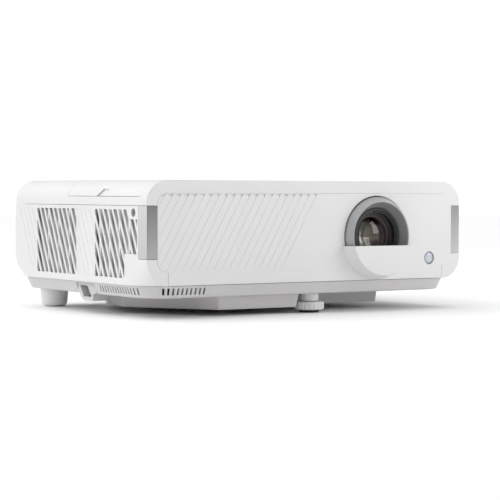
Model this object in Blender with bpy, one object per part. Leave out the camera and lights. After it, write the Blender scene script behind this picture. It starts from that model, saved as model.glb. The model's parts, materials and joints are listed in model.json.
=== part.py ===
"""Home projector, built as it comes apart on the bench.

Metres, +Z up.  The origin is the middle of the footprint, on the table; the lens looks
along -Y and +X is to the right for someone facing the lens.
"""

import math

import bmesh
import bpy
from mathutils import Matrix, Vector

MM = 0.001
GAP = 0.3 * MM              # air left between two pieces that meet
WALL = 2.5 * MM             # moulded wall

# ---- driving sizes of the body ------------------------------------------------------
WIDTH = 312 * MM
DEPTH = 222 * MM
HEIGHT = 108 * MM
HOOD_REACH = 12 * MM        # how far the lens hood stands out in front
HALF_WIDTH = WIDTH / 2
FRONT = -(DEPTH - HOOD_REACH) / 2
REAR = FRONT + DEPTH
CORNER_R = 18.5 * MM        # round of the body's outline, seen from the front
SEAM_LOW = 26 * MM          # side panels stand on the lower case here
SEAM_HIGH = 88 * MM         # upper shell sits on the side panels here
FRONT_PLAN_R = 30 * MM      # round of the lower corners, seen from above
REAR_PLAN_R = 20 * MM
PLATE = 2.3 * MM            # depth of the front frame's straight rim
FACE = 3 * MM               # thickness of the front and rear faces
ARC_STEPS = 6

# ---- lens ----------------------------------------------------------------------------
LENS = Vector((65.8 * MM, 0.0, 62.5 * MM))
LENS_HOLE_R = 33.5 * MM
HOOD_R_BACK = 36.1 * MM
HOOD_R_FRONT = 32.0 * MM
HOOD_TOP = 54.7 * MM        # level of the hood's straight top edge

# ---- inner face panels ------------------------------------------------------------------
PANEL_HALF = 146.6 * MM
PANEL_LOW = 36.3 * MM
PANEL_HIGH = 97.9 * MM
PANEL_R = 9.5 * MM
STRIP_HALF = 136.7 * MM     # half length of the strip under the panel
IR_WINDOW = (122.6 * MM, 43.3 * MM)
IR_HOLE_R = 5.45 * MM
GROOVE_PITCH = 7.2 * MM     # slanted grooves of the front panel
GROOVE_SLANT = 0.61         # shift to the left of a groove per unit of drop
GROOVE_WIDTH = 0.9 * MM
GROOVE_DEPTH = 0.7 * MM
GROOVE_Z = (38 * MM, 96.6 * MM)
LAST_GROOVE_X = 3.7 * MM    # at its top end
GROOVES = 24
TRIM_LOW = 46.9 * MM
TRIM_DEPTH = 12.5 * MM      # how far a corner trim wraps back along the side

# ---- slanted ribs and slots of the side panels --------------------------------------------
RIB_PITCH = 7.7 * MM
RIB_SLANT = 0.483           # forward shift of a rib per unit of drop
SLOT_WIDTH = 4.2 * MM
VENT_TOP = 84.9 * MM
VENT_LOW = 31.3 * MM
FIRST_SLOT_Y = 75.7 * MM    # rearmost slot, at the vent's top edge
REAR_VENT_Y = (7.3 * MM, 76.5 * MM)
FRONT_VENT_Y = (-70.9 * MM, -24.0 * MM)
STEP_VENT_Y = (-90.5 * MM, -70.4 * MM)
STEP_VENT_Z = (50.4 * MM, 77.4 * MM)
FRONT_BARS = (-76.7 * MM, 15.4 * MM, 4)     # guard bars behind the vents: first, pitch, count
REAR_BARS = (21.2 * MM, 18.3 * MM, 3)
LAMP_SCREW = Vector((-HALF_WIDTH, -84.6 * MM, 82.6 * MM))

# ---- lower case ---------------------------------------------------------------------------
CASE_BOTTOM = 16 * MM
CASE_INSET = 2.3 * MM       # set back of the lower case under the side panels
CASE_TAPER = 3.4 * MM       # further set back at its bottom edge
FLOOR = 2.2 * MM
LOUVRE_PITCH = 4.0 * MM
LOUVRE_WIDTH = 1.7 * MM
LOUVRE_Z = (18.7 * MM, 23.9 * MM)
LOUVRE_FRONT_X = -101.4 * MM        # last louvre of the front wall
LOUVRE_CORNER_RUN = 34.5 * MM       # from the front wall's end, round the corner, to the side's first louvre
LOUVRES_FRONT = 10
LOUVRES_SIDE = 15
COVER_BOTTOM = 5 * MM       # underside of the raised base cover
FOOT_HOLE_R = 8.2 * MM
BRACKET_HOLES = [(x * MM, y * MM) for x in (-95, 95) for y in (-55, 85)]    # threaded holes for a bracket
BRACKET_HOLE_R = 2.1 * MM
ANCHOR_NOTCH = ((-1, -17.3 * MM, -1), (-135.7 * MM, 13.3 * MM, 24.3 * MM))

# ---- feet ---------------------------------------------------------------------------------
FOOT = Vector((10.5 * MM, -86.0 * MM, 0.0))
FOOT_WHEEL_R = 12.5 * MM
REAR_FOOT_X = 131.5 * MM
REAR_FOOT_Y = 92 * MM

# ---- lamp cover ---------------------------------------------------------------------------
COVER_LOW = 95 * MM         # its lower edge on the left shoulder
COVER_FRONT = -99 * MM
COVER_REAR = 23 * MM
COVER_RIGHT = -75 * MM
SCOOP_Y = (-41 * MM, -26 * MM)
LUG_X = (-152.1 * MM, -150.5 * MM)
LUG_Z = (79.6 * MM, 98.5 * MM)
LUG_HALF = 5 * MM
LUG_SLOT = 1.8 * MM         # half width of the slot round the screw

# ---- keypad -------------------------------------------------------------------------------
KEYPAD = Vector((70 * MM, 70 * MM, 107.4 * MM))
KEYPAD_SIZE = (104 * MM, 44 * MM)
KEYPAD_THICK = 2 * MM
BUTTON_BOTTOM = 103.9 * MM

# ---- cooling fans ---------------------------------------------------------------------------
FAN_SIZE = 60 * MM
FAN_DEPTH = 25 * MM
FAN_BORE_R = 28.5 * MM
FAN_X = 135 * MM
FAN_Y = 42 * MM
FAN_Z = 56 * MM


# =============================================================================================
# Materials
# =============================================================================================
COLOURS = {
    # name: (base colour, roughness, metallic)
    "white_shell": ((0.86, 0.86, 0.86), 0.45, 0.0),
    "grey_case": ((0.70, 0.69, 0.69), 0.55, 0.0),
    "satin_trim": ((0.42, 0.42, 0.43), 0.35, 0.6),
    "pale_ring": ((0.62, 0.63, 0.64), 0.4, 0.0),
    "black_plastic": ((0.02, 0.02, 0.02), 0.4, 0.0),
    "lens_glass": ((0.10, 0.12, 0.14), 0.05, 0.0),
    "ir_filter": ((0.50, 0.53, 0.60), 0.2, 0.0),
    "rubber": ((0.05, 0.05, 0.05), 0.8, 0.0),
    "key_grey": ((0.55, 0.56, 0.58), 0.5, 0.0),
    "circuit_board": ((0.03, 0.22, 0.09), 0.5, 0.0),
    "plated_steel": ((0.65, 0.65, 0.66), 0.3, 1.0),
    "cast_alloy": ((0.45, 0.45, 0.46), 0.5, 0.9),
    "coated_glass": ((0.55, 0.35, 0.60), 0.05, 0.2),
    "light_guide": ((0.80, 0.82, 0.84), 0.2, 0.0),
    "white_foot": ((0.84, 0.84, 0.84), 0.45, 0.0),
}


def material(name):
    """The named finish as a Principled material, made once."""
    found = bpy.data.materials.get(name)
    if found:
        return found
    colour, roughness, metallic = COLOURS[name]
    made = bpy.data.materials.new(name)
    made.use_nodes = True
    shader = made.node_tree.nodes["Principled BSDF"]
    shader.inputs["Base Color"].default_value = (*colour, 1.0)
    shader.inputs["Roughness"].default_value = roughness
    shader.inputs["Metallic"].default_value = metallic
    made.diffuse_color = (*colour, 1.0)
    return made


# =============================================================================================
# Shapes
# =============================================================================================
def to_space(axis, flat, along):
    """A point of an outline drawn square to an axis: (x, z) for Y, (y, z) for X, (x, y) for Z."""
    u, v = flat
    return {"X": (along, u, v), "Y": (u, along, v), "Z": (u, v, along)}[axis]


def add_box(bm, low, high):
    """A box between two corners."""
    low, high = Vector(low), Vector(high)
    place = Matrix.Translation((low + high) / 2) @ Matrix.Diagonal((*(high - low), 1.0))
    bmesh.ops.create_cube(bm, size=1.0, matrix=place)


def add_loft(bm, loops):
    """A closed solid skinned over loops that have the same number of points."""
    rings = [[bm.verts.new(point) for point in loop] for loop in loops]
    count = len(rings[0])
    for ring, following in zip(rings, rings[1:]):
        for i in range(count):
            j = (i + 1) % count
            bm.faces.new((ring[i], ring[j], following[j], following[i]))
    bm.faces.new(rings[0])
    bm.faces.new(rings[-1])


def add_prism(bm, outline, axis, start, end):
    """An outline drawn square to an axis, pushed from start to end."""
    add_loft(bm, [[to_space(axis, point, along) for point in outline] for along in (start, end)])


def add_turned(bm, profile, axis, centre, steps=24, first=0.0):
    """A profile of (radius, distance along the axis) points turned about that axis."""
    rings = []
    for radius, along in profile:
        ring = []
        for i in range(steps if radius > 0 else 1):
            angle = first + math.tau * i / steps
            flat = (radius * math.cos(angle), radius * math.sin(angle))
            ring.append(bm.verts.new(Vector(to_space(axis, flat, along)) + Vector(centre)))
        rings.append(ring)
    for ring, following in zip(rings, rings[1:] + rings[:1]):
        if len(ring) == 1 and len(following) == 1:
            continue
        for i in range(steps):
            j = (i + 1) % steps
            corners = [ring[i % len(ring)], ring[j % len(ring)],
                       following[j % len(following)], following[i % len(following)]]
            bm.faces.new(list(dict.fromkeys(corners)))


def arc(centre, radius, start, end, steps):
    """Points on an arc between two angles in degrees."""
    angles = [math.radians(start + (end - start) * i / steps) for i in range(steps + 1)]
    return [(centre[0] + radius * math.cos(a), centre[1] + radius * math.sin(a)) for a in angles]


def circle(centre, radius, steps=24, first=0.0):
    """Points round a full circle."""
    return arc(centre, radius, first, first + 360, steps)[:-1]


def rounded_box(low, high, radii, steps=ARC_STEPS):
    """A rectangle with rounded corners: radii run low-low, high-low, high-high, low-high."""
    (x0, y0), (x1, y1) = low, high
    corners = [(x0, y0, 1, 1, 180), (x1, y0, -1, 1, 270), (x1, y1, -1, -1, 0), (x0, y1, 1, -1, 90)]
    points = []
    for (x, y, sx, sy, start), r in zip(corners, radii):
        points += arc((x + sx * r, y + sy * r), r, start, start + 90, steps)
    return points


def clip(outline, point, normal):
    """The part of a convex outline on the side of a line that its normal points away from."""
    kept = []
    for (ax, ay), (bx, by) in zip(outline, outline[1:] + outline[:1]):
        a = (ax - point[0]) * normal[0] + (ay - point[1]) * normal[1]
        b = (bx - point[0]) * normal[0] + (by - point[1]) * normal[1]
        if a <= 0:
            kept.append((ax, ay))
        if a * b < 0:
            t = a / (a - b)
            kept.append((ax + (bx - ax) * t, ay + (by - ay) * t))
    return kept


# =============================================================================================
# Objects
# =============================================================================================
def make(name, bm, finish, pivot=(0, 0, 0), smooth=30):
    """An object whose origin is its pivot; faces are turned outwards."""
    bmesh.ops.recalc_face_normals(bm, faces=bm.faces[:])
    bmesh.ops.translate(bm, verts=bm.verts[:], vec=-Vector(pivot))
    mesh = bpy.data.meshes.new(name)
    bm.to_mesh(mesh)
    bm.free()
    mesh.shade_smooth()
    mesh.set_sharp_from_angle(angle=math.radians(smooth))
    obj = bpy.data.objects.new(name, mesh)
    obj.location = pivot
    bpy.context.scene.collection.objects.link(obj)
    if finish:
        mesh.materials.append(material(finish))
    return obj


def tool(name, bm):
    """A hidden shape that cuts another."""
    obj = make("tool_" + name, bm, None)
    obj.hide_render = True
    obj.display_type = "WIRE"
    return obj


def apply_tool(obj, cutter, operation="DIFFERENCE"):
    """Cut, join or intersect an object with a hidden shape."""
    boolean = obj.modifiers.new(operation.title(), "BOOLEAN")
    boolean.operation = operation
    boolean.solver = "EXACT"
    boolean.object = cutter


def box_tool(name, *boxes):
    """A hidden shape made of boxes that don't meet."""
    bm = bmesh.new()
    for low, high in boxes:
        add_box(bm, low, high)
    return tool(name, bm)


def box(name, low, high, finish, pivot=None, bevel=0.0):
    """A box, with its edges rounded off when a bevel is given."""
    bm = bmesh.new()
    add_box(bm, low, high)
    middle = (Vector(low) + Vector(high)) / 2
    if bevel:
        bmesh.ops.bevel(bm, geom=bm.edges[:], offset=bevel, segments=1, affect="EDGES")
    return make(name, bm, finish, pivot or middle)


def turned(name, profile, axis, centre, finish, steps=24, first=0.0):
    """A turned piece whose origin is on its axis."""
    bm = bmesh.new()
    add_turned(bm, profile, axis, centre, steps, first)
    return make(name, bm, finish, centre)


def prism(name, outline, axis, start, end, finish, pivot=(0, 0, 0)):
    """An outline pushed along an axis."""
    bm = bmesh.new()
    add_prism(bm, outline, axis, start, end)
    return make(name, bm, finish, pivot)


# =============================================================================================
# Casing
# =============================================================================================
def tuck(y):
    """How far the lower corners are drawn in at a depth: 0 along the side, 1 at both faces."""
    for face, radius, sign in ((FRONT, FRONT_PLAN_R, -1), (REAR, REAR_PLAN_R, 1)):
        reach = math.sqrt(radius ** 2 - (radius - CORNER_R) ** 2)
        past = sign * (y - face) + PLATE + reach
        if past > 0:
            drawn = radius - math.sqrt(max(radius ** 2 - past ** 2, 0.0))
            return min(drawn / CORNER_R, 1.0)
    return 0.0


def body_section(y, inset):
    """Outline of the body at a depth, drawn in by an inset; an inset one is open below."""
    radius = CORNER_R - inset
    low, high = SEAM_LOW + CORNER_R, HEIGHT - CORNER_R
    right = []
    if inset:
        right.append((HALF_WIDTH - inset - radius * tuck(y), CASE_BOTTOM))
    for i in range(ARC_STEPS, -1, -1):
        angle = math.radians(90 * i / ARC_STEPS)
        drawn = radius * (1 - math.cos(angle)) * tuck(y)
        right.append((HALF_WIDTH - inset - drawn, low - radius * math.sin(angle)))
    right += arc((HALF_WIDTH - CORNER_R, high), radius, 0, 90, ARC_STEPS)
    left = [(-x, z) for x, z in reversed(right)]
    return [(x, y, z) for x, z in right + left]


def plan_stations(start, end):
    """Depths where the lower corners change shape, between two ends."""
    stations = {start, end}
    for face, radius, sign in ((FRONT, FRONT_PLAN_R, -1), (REAR, REAR_PLAN_R, 1)):
        widest = math.acos((radius - CORNER_R) / radius)
        reach = radius * math.sin(widest)
        for i in range(ARC_STEPS + 1):
            stations.add(face - sign * (PLATE + reach - radius * math.sin(widest * i / ARC_STEPS)))
    return sorted(y for y in stations if start <= y <= end)


def face_outline(grow=0.0):
    """Outline of a face panel with the strip under it, square to Y."""
    half, radius = PANEL_HALF + grow, PANEL_R + grow
    strip = STRIP_HALF + grow
    low, high = PANEL_LOW - grow, PANEL_HIGH + grow
    right = [(strip, SEAM_LOW - grow)]
    right += arc((half - radius, low + radius), radius, -90, 0, ARC_STEPS)
    right += arc((half - radius, high - radius), radius, 0, 90, ARC_STEPS)
    right[1] = (strip, low)
    return right + [(-x, z) for x, z in reversed(right)]


def face_tool(name):
    """Opening for the front and the rear panel in the casing."""
    bm = bmesh.new()
    for start, end in ((FRONT - WALL, FRONT + 2 * FACE), (REAR - 2 * FACE, REAR + WALL)):
        add_prism(bm, face_outline(GAP / 2), "Y", start, end)
    return tool(name, bm)


def shell(name, finish, stations, inner_stations):
    """The casing's outer form, hollowed to its wall thickness."""
    bm = bmesh.new()
    add_loft(bm, [body_section(y, 0.0) for y in stations])
    obj = make(name, bm, finish)
    bm = bmesh.new()
    add_loft(bm, [body_section(y, WALL) for y in inner_stations])
    apply_tool(obj, tool(name + "_hollow", bm))
    apply_tool(obj, face_tool(name + "_faces"))
    return obj


def lamp_cover_region(grow):
    """Plan outline of the lamp cover, with its clipped front corner."""
    front, rear, right = COVER_FRONT - grow, COVER_REAR + grow, COVER_RIGHT + grow
    outside = -HALF_WIDTH - 4 * MM
    return [(right, front), (-150.6 * MM, front), (outside, front + 13.4 * MM), (outside, rear),
            (right, rear)]


def build_upper_shell():
    """Top of the casing with both shoulders and the upper edges of the faces."""
    depths = [FRONT, REAR]
    obj = shell("upper_shell", "white_shell", depths, [FRONT + FACE, REAR - FACE])
    keep = box_tool("upper_keep", ((-1, -1, SEAM_HIGH + GAP / 2), (1, 1, 1)))
    apply_tool(obj, keep, "INTERSECT")
    bm = bmesh.new()
    add_prism(bm, lamp_cover_region(GAP / 2), "Z", COVER_LOW - GAP / 2, HEIGHT + WALL)
    half = [size / 2 + GAP for size in KEYPAD_SIZE]
    keypad = rounded_box((KEYPAD.x - half[0], KEYPAD.y - half[1]),
                         (KEYPAD.x + half[0], KEYPAD.y + half[1]), [8 * MM] * 4, 4)
    add_prism(bm, keypad, "Z", HEIGHT - 3 * WALL, HEIGHT + WALL)
    apply_tool(obj, tool("upper_openings", bm))


def build_lamp_cover():
    """Lift-off cover over the lamp, with a finger scoop and a forked lug for its screw."""
    obj = shell("lamp_cover", "white_shell", [FRONT, REAR], [FRONT + FACE, REAR - FACE])
    bm = bmesh.new()
    add_prism(bm, lamp_cover_region(-GAP / 2), "Z", COVER_LOW + GAP / 2, HEIGHT + WALL)
    apply_tool(obj, tool("cover_keep", bm), "INTERSECT")
    middle = (-HALF_WIDTH + CORNER_R, HEIGHT - CORNER_R)
    scoop = arc(middle, CORNER_R + WALL, 165, 143, 4) + arc(middle, CORNER_R - 1.6 * MM, 143, 165, 4)
    bm = bmesh.new()
    add_prism(bm, scoop, "Y", *SCOOP_Y)
    apply_tool(obj, tool("cover_scoop", bm))
    lug = bmesh.new()
    y, z = LAMP_SCREW.y, LAMP_SCREW.z
    foot, head = LUG_Z
    fork = [(y - LUG_HALF, foot), (y - LUG_SLOT, foot)] + arc((y, z), LUG_SLOT, 180, 0, 6)
    fork += [(y + LUG_SLOT, foot), (y + LUG_HALF, foot), (y + LUG_HALF, head), (y - LUG_HALF, head)]
    add_prism(lug, fork, "X", *LUG_X)
    apply_tool(obj, tool("cover_lug", lug), "UNION")


def vent_slots(*vents):
    """Outlines in (y, z) of the open slots inside some rectangular vents."""
    outlines = []
    for (y0, y1), (z0, z1) in vents:
        for i in range(-1, 40):
            centre = FIRST_SLOT_Y + 5 * RIB_PITCH - i * RIB_PITCH
            top, bottom = VENT_TOP, VENT_LOW
            shift = RIB_SLANT * (top - bottom)
            strip = [(centre - SLOT_WIDTH / 2, top), (centre + SLOT_WIDTH / 2, top),
                     (centre + SLOT_WIDTH / 2 - shift, bottom), (centre - SLOT_WIDTH / 2 - shift, bottom)]
            for point, normal in (((y0, z0), (-1, 0)), ((y1, z0), (1, 0)),
                                  ((y0, z0), (0, -1)), ((y0, z1), (0, 1))):
                strip = clip(strip, point, normal) if len(strip) > 2 else []
            if strip and max(z for _, z in strip) - min(z for _, z in strip) > 3 * MM:
                outlines.append(strip)
    return outlines


def build_side_panel(name, side):
    """Side wall with slanted vent slots and the rounded lower corners of both faces."""
    ends = plan_stations(FRONT, REAR)
    inner = plan_stations(FRONT + FACE, REAR - FACE)
    obj = shell(name, "white_shell", ends, inner)
    edge = STRIP_HALF + GAP / 2
    low, high = sorted((side * edge, side * 1.0))
    apply_tool(obj, box_tool(name + "_keep", ((low, -1, -1), (high, 1, SEAM_HIGH - GAP / 2))), "INTERSECT")
    reach = sorted((side * (PANEL_HALF - GAP), side * 1.0))
    trim = ((reach[0], -1, TRIM_LOW - GAP / 2), (reach[1], FRONT + TRIM_DEPTH + GAP / 2, 1))
    apply_tool(obj, box_tool(name + "_trim", trim))
    across = sorted((side * (HALF_WIDTH - 2 * WALL), side * (HALF_WIDTH + WALL)))
    full_height = (VENT_LOW, VENT_TOP)
    for vents in (((REAR_VENT_Y, full_height), (FRONT_VENT_Y, full_height)), ((STEP_VENT_Y, STEP_VENT_Z),)):
        bm = bmesh.new()
        for outline in vent_slots(*vents):
            add_prism(bm, outline, "X", *across)
        apply_tool(obj, tool(name + "_slots", bm))
    if side < 0:
        bm = bmesh.new()
        add_prism(bm, circle((LAMP_SCREW.y, LAMP_SCREW.z), 3.3 * MM, 16), "X", *across)
        apply_tool(obj, tool(name + "_screw_hole", bm))


def build_corner_trim(name, side):
    """Satin strip let into a front corner."""
    outer, inner = side * HALF_WIDTH, side * (PANEL_HALF + GAP / 2)
    wall = side * (HALF_WIDTH - WALL)
    back = FRONT + TRIM_DEPTH - GAP / 2
    corner = [(outer, FRONT), (outer, back), (wall, back), (wall, FRONT + FACE), (inner, FRONT + FACE),
              (inner, FRONT)]
    pivot = (outer, FRONT, (TRIM_LOW + SEAM_HIGH) / 2)
    prism(name, corner, "Z", TRIM_LOW + GAP / 2, SEAM_HIGH - GAP / 2, "satin_trim", pivot)


def build_inner_grille(name, side):
    """Finger guard of upright bars behind the vents of one side."""
    outer = HALF_WIDTH - WALL - GAP
    low, high = sorted((side * outer, side * (outer - 1.5 * MM)))
    front, rear, bottom, top = -91.5 * MM, 78 * MM, 29 * MM, 86.5 * MM
    corner = (-77.5 * MM, 46.5 * MM)          # kept clear of the drawn-in lower corner
    outline = [(front, corner[1]), corner, (corner[0], bottom), (rear, bottom), (rear, top), (front, top)]
    if side < 0:
        lug = (-78 * MM, 79.2 * MM)           # kept clear of the lamp cover's lug
        outline[-1:] = [(lug[0], top), lug, (front, lug[1])]
    obj = prism(name, outline, "X", low, high, "white_shell", (low, 0, 0))
    bars = [FRONT_BARS[0] + i * FRONT_BARS[1] for i in range(FRONT_BARS[2])]
    spans = [(bar + 1.3 * MM, bar + FRONT_BARS[1] - 1.3 * MM) for bar in bars[:-1]]
    spans.append((bars[-1] + 1.3 * MM, -23 * MM))
    bars = [REAR_BARS[0] + i * REAR_BARS[1] for i in range(REAR_BARS[2])]
    edges = [6.5 * MM] + [edge for bar in bars for edge in (bar - 0.7 * MM, bar + 0.7 * MM)] + [76.5 * MM]
    spans += list(zip(edges[::2], edges[1::2]))
    windows = [((low - WALL, y0, 31 * MM), (high + WALL, y1, 84.5 * MM)) for y0, y1 in spans]
    windows.append(((low - WALL, -89.5 * MM, 49 * MM), (high + WALL, -78 * MM, 77.7 * MM)))
    apply_tool(obj, box_tool(name + "_windows", *windows))


def build_front_panel():
    """Face of the casing with its slanted grooves, lens opening and receiver hole."""
    obj = prism("front_panel", face_outline(-GAP / 2), "Y", FRONT, FRONT + FACE, "white_shell")
    bm = bmesh.new()
    add_prism(bm, circle((LENS.x, LENS.z), LENS_HOLE_R, 48), "Y", FRONT - WALL, FRONT + 2 * FACE)
    add_prism(bm, circle(IR_WINDOW, IR_HOLE_R, 20), "Y", FRONT - WALL, FRONT + 2 * FACE)
    apply_tool(obj, tool("front_holes", bm))
    bm = bmesh.new()
    low, high = GROOVE_Z
    shift = GROOVE_SLANT * (high - low)
    for i in range(GROOVES):
        x = LAST_GROOVE_X - i * GROOVE_PITCH
        groove = [(x, high), (x + GROOVE_WIDTH, high), (x + GROOVE_WIDTH - shift, low), (x - shift, low)]
        groove = clip(groove, (-PANEL_HALF + 2 * MM, 0), (-1, 0))
        if len(groove) > 2:
            add_prism(bm, groove, "Y", FRONT - WALL, FRONT + GROOVE_DEPTH)
    apply_tool(obj, tool("front_grooves", bm))


def build_lens_hood():
    """Half-moon bumper in front of the lower half of the lens."""
    profile = [(0.0, FRONT - HOOD_REACH), (HOOD_R_FRONT, FRONT - HOOD_REACH),
               (HOOD_R_FRONT + 0.6 * MM, FRONT - HOOD_REACH + 0.7 * MM),
               (HOOD_R_BACK, FRONT - GAP), (HOOD_R_BACK - 2 * MM, FRONT - GAP),
               (HOOD_R_FRONT - 1.5 * MM, FRONT - HOOD_REACH + 2 * MM), (0.0, FRONT - HOOD_REACH + 2 * MM)]
    obj = turned("lens_hood", profile, "Y", LENS, "white_shell", 48)
    apply_tool(obj, box_tool("hood_top", ((-1, -1, HOOD_TOP), (1, 1, 1))))


def case_outline(inset, steps=ARC_STEPS):
    """Plan outline of the lower case, with its large rounded corners."""
    low = (-HALF_WIDTH + inset, FRONT + inset)
    high = (HALF_WIDTH - inset, REAR - inset)
    front, rear = FRONT_PLAN_R - inset / 2, REAR_PLAN_R - inset / 2
    return rounded_box(low, high, [front, front, rear, rear], steps)


def build_lower_case():
    """Tub that carries the chassis: tapered walls, louvres, foot and cable openings."""
    top, bottom = SEAM_LOW - GAP, CASE_BOTTOM
    bm = bmesh.new()
    add_loft(bm, [[(x, y, z) for x, y in case_outline(inset)]
                  for z, inset in ((top, CASE_INSET), (bottom, CASE_INSET + CASE_TAPER))])
    obj = make("lower_case", bm, "grey_case")
    bm = bmesh.new()
    add_loft(bm, [[(x, y, z) for x, y in case_outline(inset + WALL)]
                  for z, inset in ((top + WALL, CASE_INSET), (bottom + FLOOR, CASE_INSET + CASE_TAPER))])
    apply_tool(obj, tool("case_hollow", bm))
    bm = bmesh.new()
    add_louvres(bm)
    add_prism(bm, circle((FOOT.x, FOOT.y), FOOT_HOLE_R, 24), "Z", 0, SEAM_LOW - 2 * FLOOR)
    for hole in BRACKET_HOLES:
        add_prism(bm, circle(hole, BRACKET_HOLE_R, 10), "Z", 0, SEAM_LOW - 2 * FLOOR)
    apply_tool(obj, tool("case_openings", bm))
    apply_tool(obj, box_tool("case_notch", ANCHOR_NOTCH))


def add_louvres(bm):
    """Upright louvres along the front and left walls of the lower case, about its front left corner."""
    inset = CASE_INSET + CASE_TAPER / 2
    radius = FRONT_PLAN_R - inset / 2
    corner = Vector((-HALF_WIDTH + inset + radius, FRONT + inset + radius, 0))
    runs = [LOUVRE_FRONT_X - corner.x - i * LOUVRE_PITCH for i in range(LOUVRES_FRONT)]
    runs += [-LOUVRE_CORNER_RUN - i * LOUVRE_PITCH for i in range(LOUVRES_SIDE)]
    for run in runs:
        add_louvre(bm, corner, radius, run)


def add_louvre(bm, corner, radius, run):
    """One upright slot; run is measured from the end of the front wall, negative round the corner."""
    if run >= 0:
        place, turn = corner + Vector((run, -radius, 0)), 0.0
    else:
        turn = min(-run / radius, math.pi / 2)
        place = corner + radius * Vector((-math.sin(turn), -math.cos(turn), 0))
        place.y += max(-run - radius * math.pi / 2, 0.0)
    low, high = LOUVRE_Z
    frame = Matrix.Translation(place + Vector((0, 0, (low + high) / 2))) @ Matrix.Rotation(-turn, 4, "Z")
    size = Matrix.Diagonal((LOUVRE_WIDTH, 12 * MM, high - low, 1.0))
    bmesh.ops.create_cube(bm, size=1.0, matrix=frame @ size)


def build_base_cover():
    """Raised cover screwed under the tub, stepped back round the front foot."""
    low = [(-88, 66), (-116, 28), (-126, -16), (-80, -89), (-6, -91), (-6, -64), (97, -64), (97, 66)]
    high = [(-89, 68), (-118.5, 29), (-129, -17), (-83, -93.5), (-5, -93.5), (-5, -65), (98, -65), (98, 68)]
    inner_low = [(-87, 63), (-113, 27.5), (-122.5, -15.5), (-78.3, -86), (-9, -88), (-9, -61), (94, -61),
                 (94, 63)]
    inner_high = [(-88, 65), (-115.5, 28), (-125.7, -16.5), (-81.2, -90.5), (-8, -90.5), (-8, -62), (95, -62),
                  (95, 65)]
    top = CASE_BOTTOM - GAP

    def level(points, z):
        return [(x * MM, y * MM, z) for x, y in points]

    bm = bmesh.new()
    add_loft(bm, [level(low, COVER_BOTTOM), level(high, top)])
    obj = make("base_cover", bm, "grey_case")
    bm = bmesh.new()
    add_loft(bm, [level(inner_low, COVER_BOTTOM + FLOOR), level(inner_high, top + FLOOR)])
    apply_tool(obj, tool("base_hollow", bm))


def build_security_bar():
    """Moulded anchor in the tub's left wall: a cable passes in at the side and out below."""
    outside, inside = -151.2 * MM, -136 * MM
    loop = [(y * MM, z * MM) for y, z in
            ((13, 24), (-17, 24), (-17, 16.2), (-12.3, 16.2), (-11.9, 10.2), (0.9, 10.0), (4.6, 10.8),
             (7.4, 12.4), (9.6, 15.0), (10.2, 16.2), (13, 16.2))]
    obj = prism("security_bar", loop, "X", outside, inside, "grey_case")
    hole = [(9.6 * MM, 22.4 * MM), (-2.8 * MM, 22.4 * MM), (-9.6 * MM, 13.4 * MM), (3.6 * MM, 13.4 * MM)]
    bm = bmesh.new()
    add_prism(bm, hole, "X", outside - WALL, inside - 8 * MM)
    apply_tool(obj, tool("anchor_hole", bm))
    pocket = ((outside + 3.5 * MM, -9.8 * MM, 5 * MM), (inside - 3 * MM, 4.4 * MM, 22 * MM))
    apply_tool(obj, box_tool("anchor_pocket", pocket))


# =============================================================================================
# Lens
# =============================================================================================
def build_lens():
    """Rings, barrel and glass on the lens axis."""
    face = FRONT
    focus = [(32.6, 3.0), (32.6, 0.3), (29.3, -6.8), (28.8, -7.1), (28.2, -6.9), (23.8, -0.9), (23.8, 3.0)]
    turned("focus_ring", [(r * MM, face + y * MM) for r, y in focus], "Y", LENS, "pale_ring", 40)
    zoom = [(33.0, 3.4), (33.0, 12.0), (23.8, 12.0), (23.8, 3.4)]
    turned("zoom_ring", [(r * MM, face + y * MM) for r, y in zoom], "Y", LENS, "pale_ring", 40)
    barrel = [(23.4, -0.6), (23.4, 56), (27.5, 56), (27.5, 59.7), (16.5, 59.7), (16.5, 14), (17.8, 14),
              (17.8, 7.4), (21.2, 7.4), (21.2, -0.6)]
    turned("lens_barrel", [(r * MM, face + y * MM) for r, y in barrel], "Y", LENS, "black_plastic", 32)
    retainer = [(20.9, 0.2), (20.9, 7.1), (14.9, 7.1), (14.6, 6.3), (17.6, 5.6), (18.0, 3.4), (19.4, 2.8),
                (19.8, 0.2)]
    turned("lens_retaining_ring", [(r * MM, face + y * MM) for r, y in retainer], "Y", LENS,
           "black_plastic", 32)
    glass = [(0.0, 5.2), (5.0, 5.45), (10.0, 6.2), (14.0, 7.4), (17.5, 7.6), (17.5, 11.5), (12.0, 12.6),
             (0.0, 13.6)]
    turned("front_lens", [(r * MM, face + y * MM) for r, y in glass], "Y", LENS, "coated_glass", 32)
    rear = [(0.0, 40.0), (8.0, 40.8), (16.2, 43.4), (16.2, 47.0), (0.0, 47.0)]
    turned("rear_lens", [(r * MM, face + y * MM) for r, y in rear], "Y", LENS, "lens_glass", 24)


def build_ir_window():
    """Remote-control receiver window beside the lens."""
    centre = Vector((122.6 * MM, 0, 43.3 * MM))
    profile = [(0.0, FRONT + 0.3 * MM), (4.6 * MM, FRONT + 0.3 * MM), (5.15 * MM, FRONT + 0.7 * MM),
               (5.15 * MM, FRONT + 4 * MM), (0.0, FRONT + 4 * MM)]
    turned("ir_window", profile, "Y", centre, "ir_filter", 20)


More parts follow.
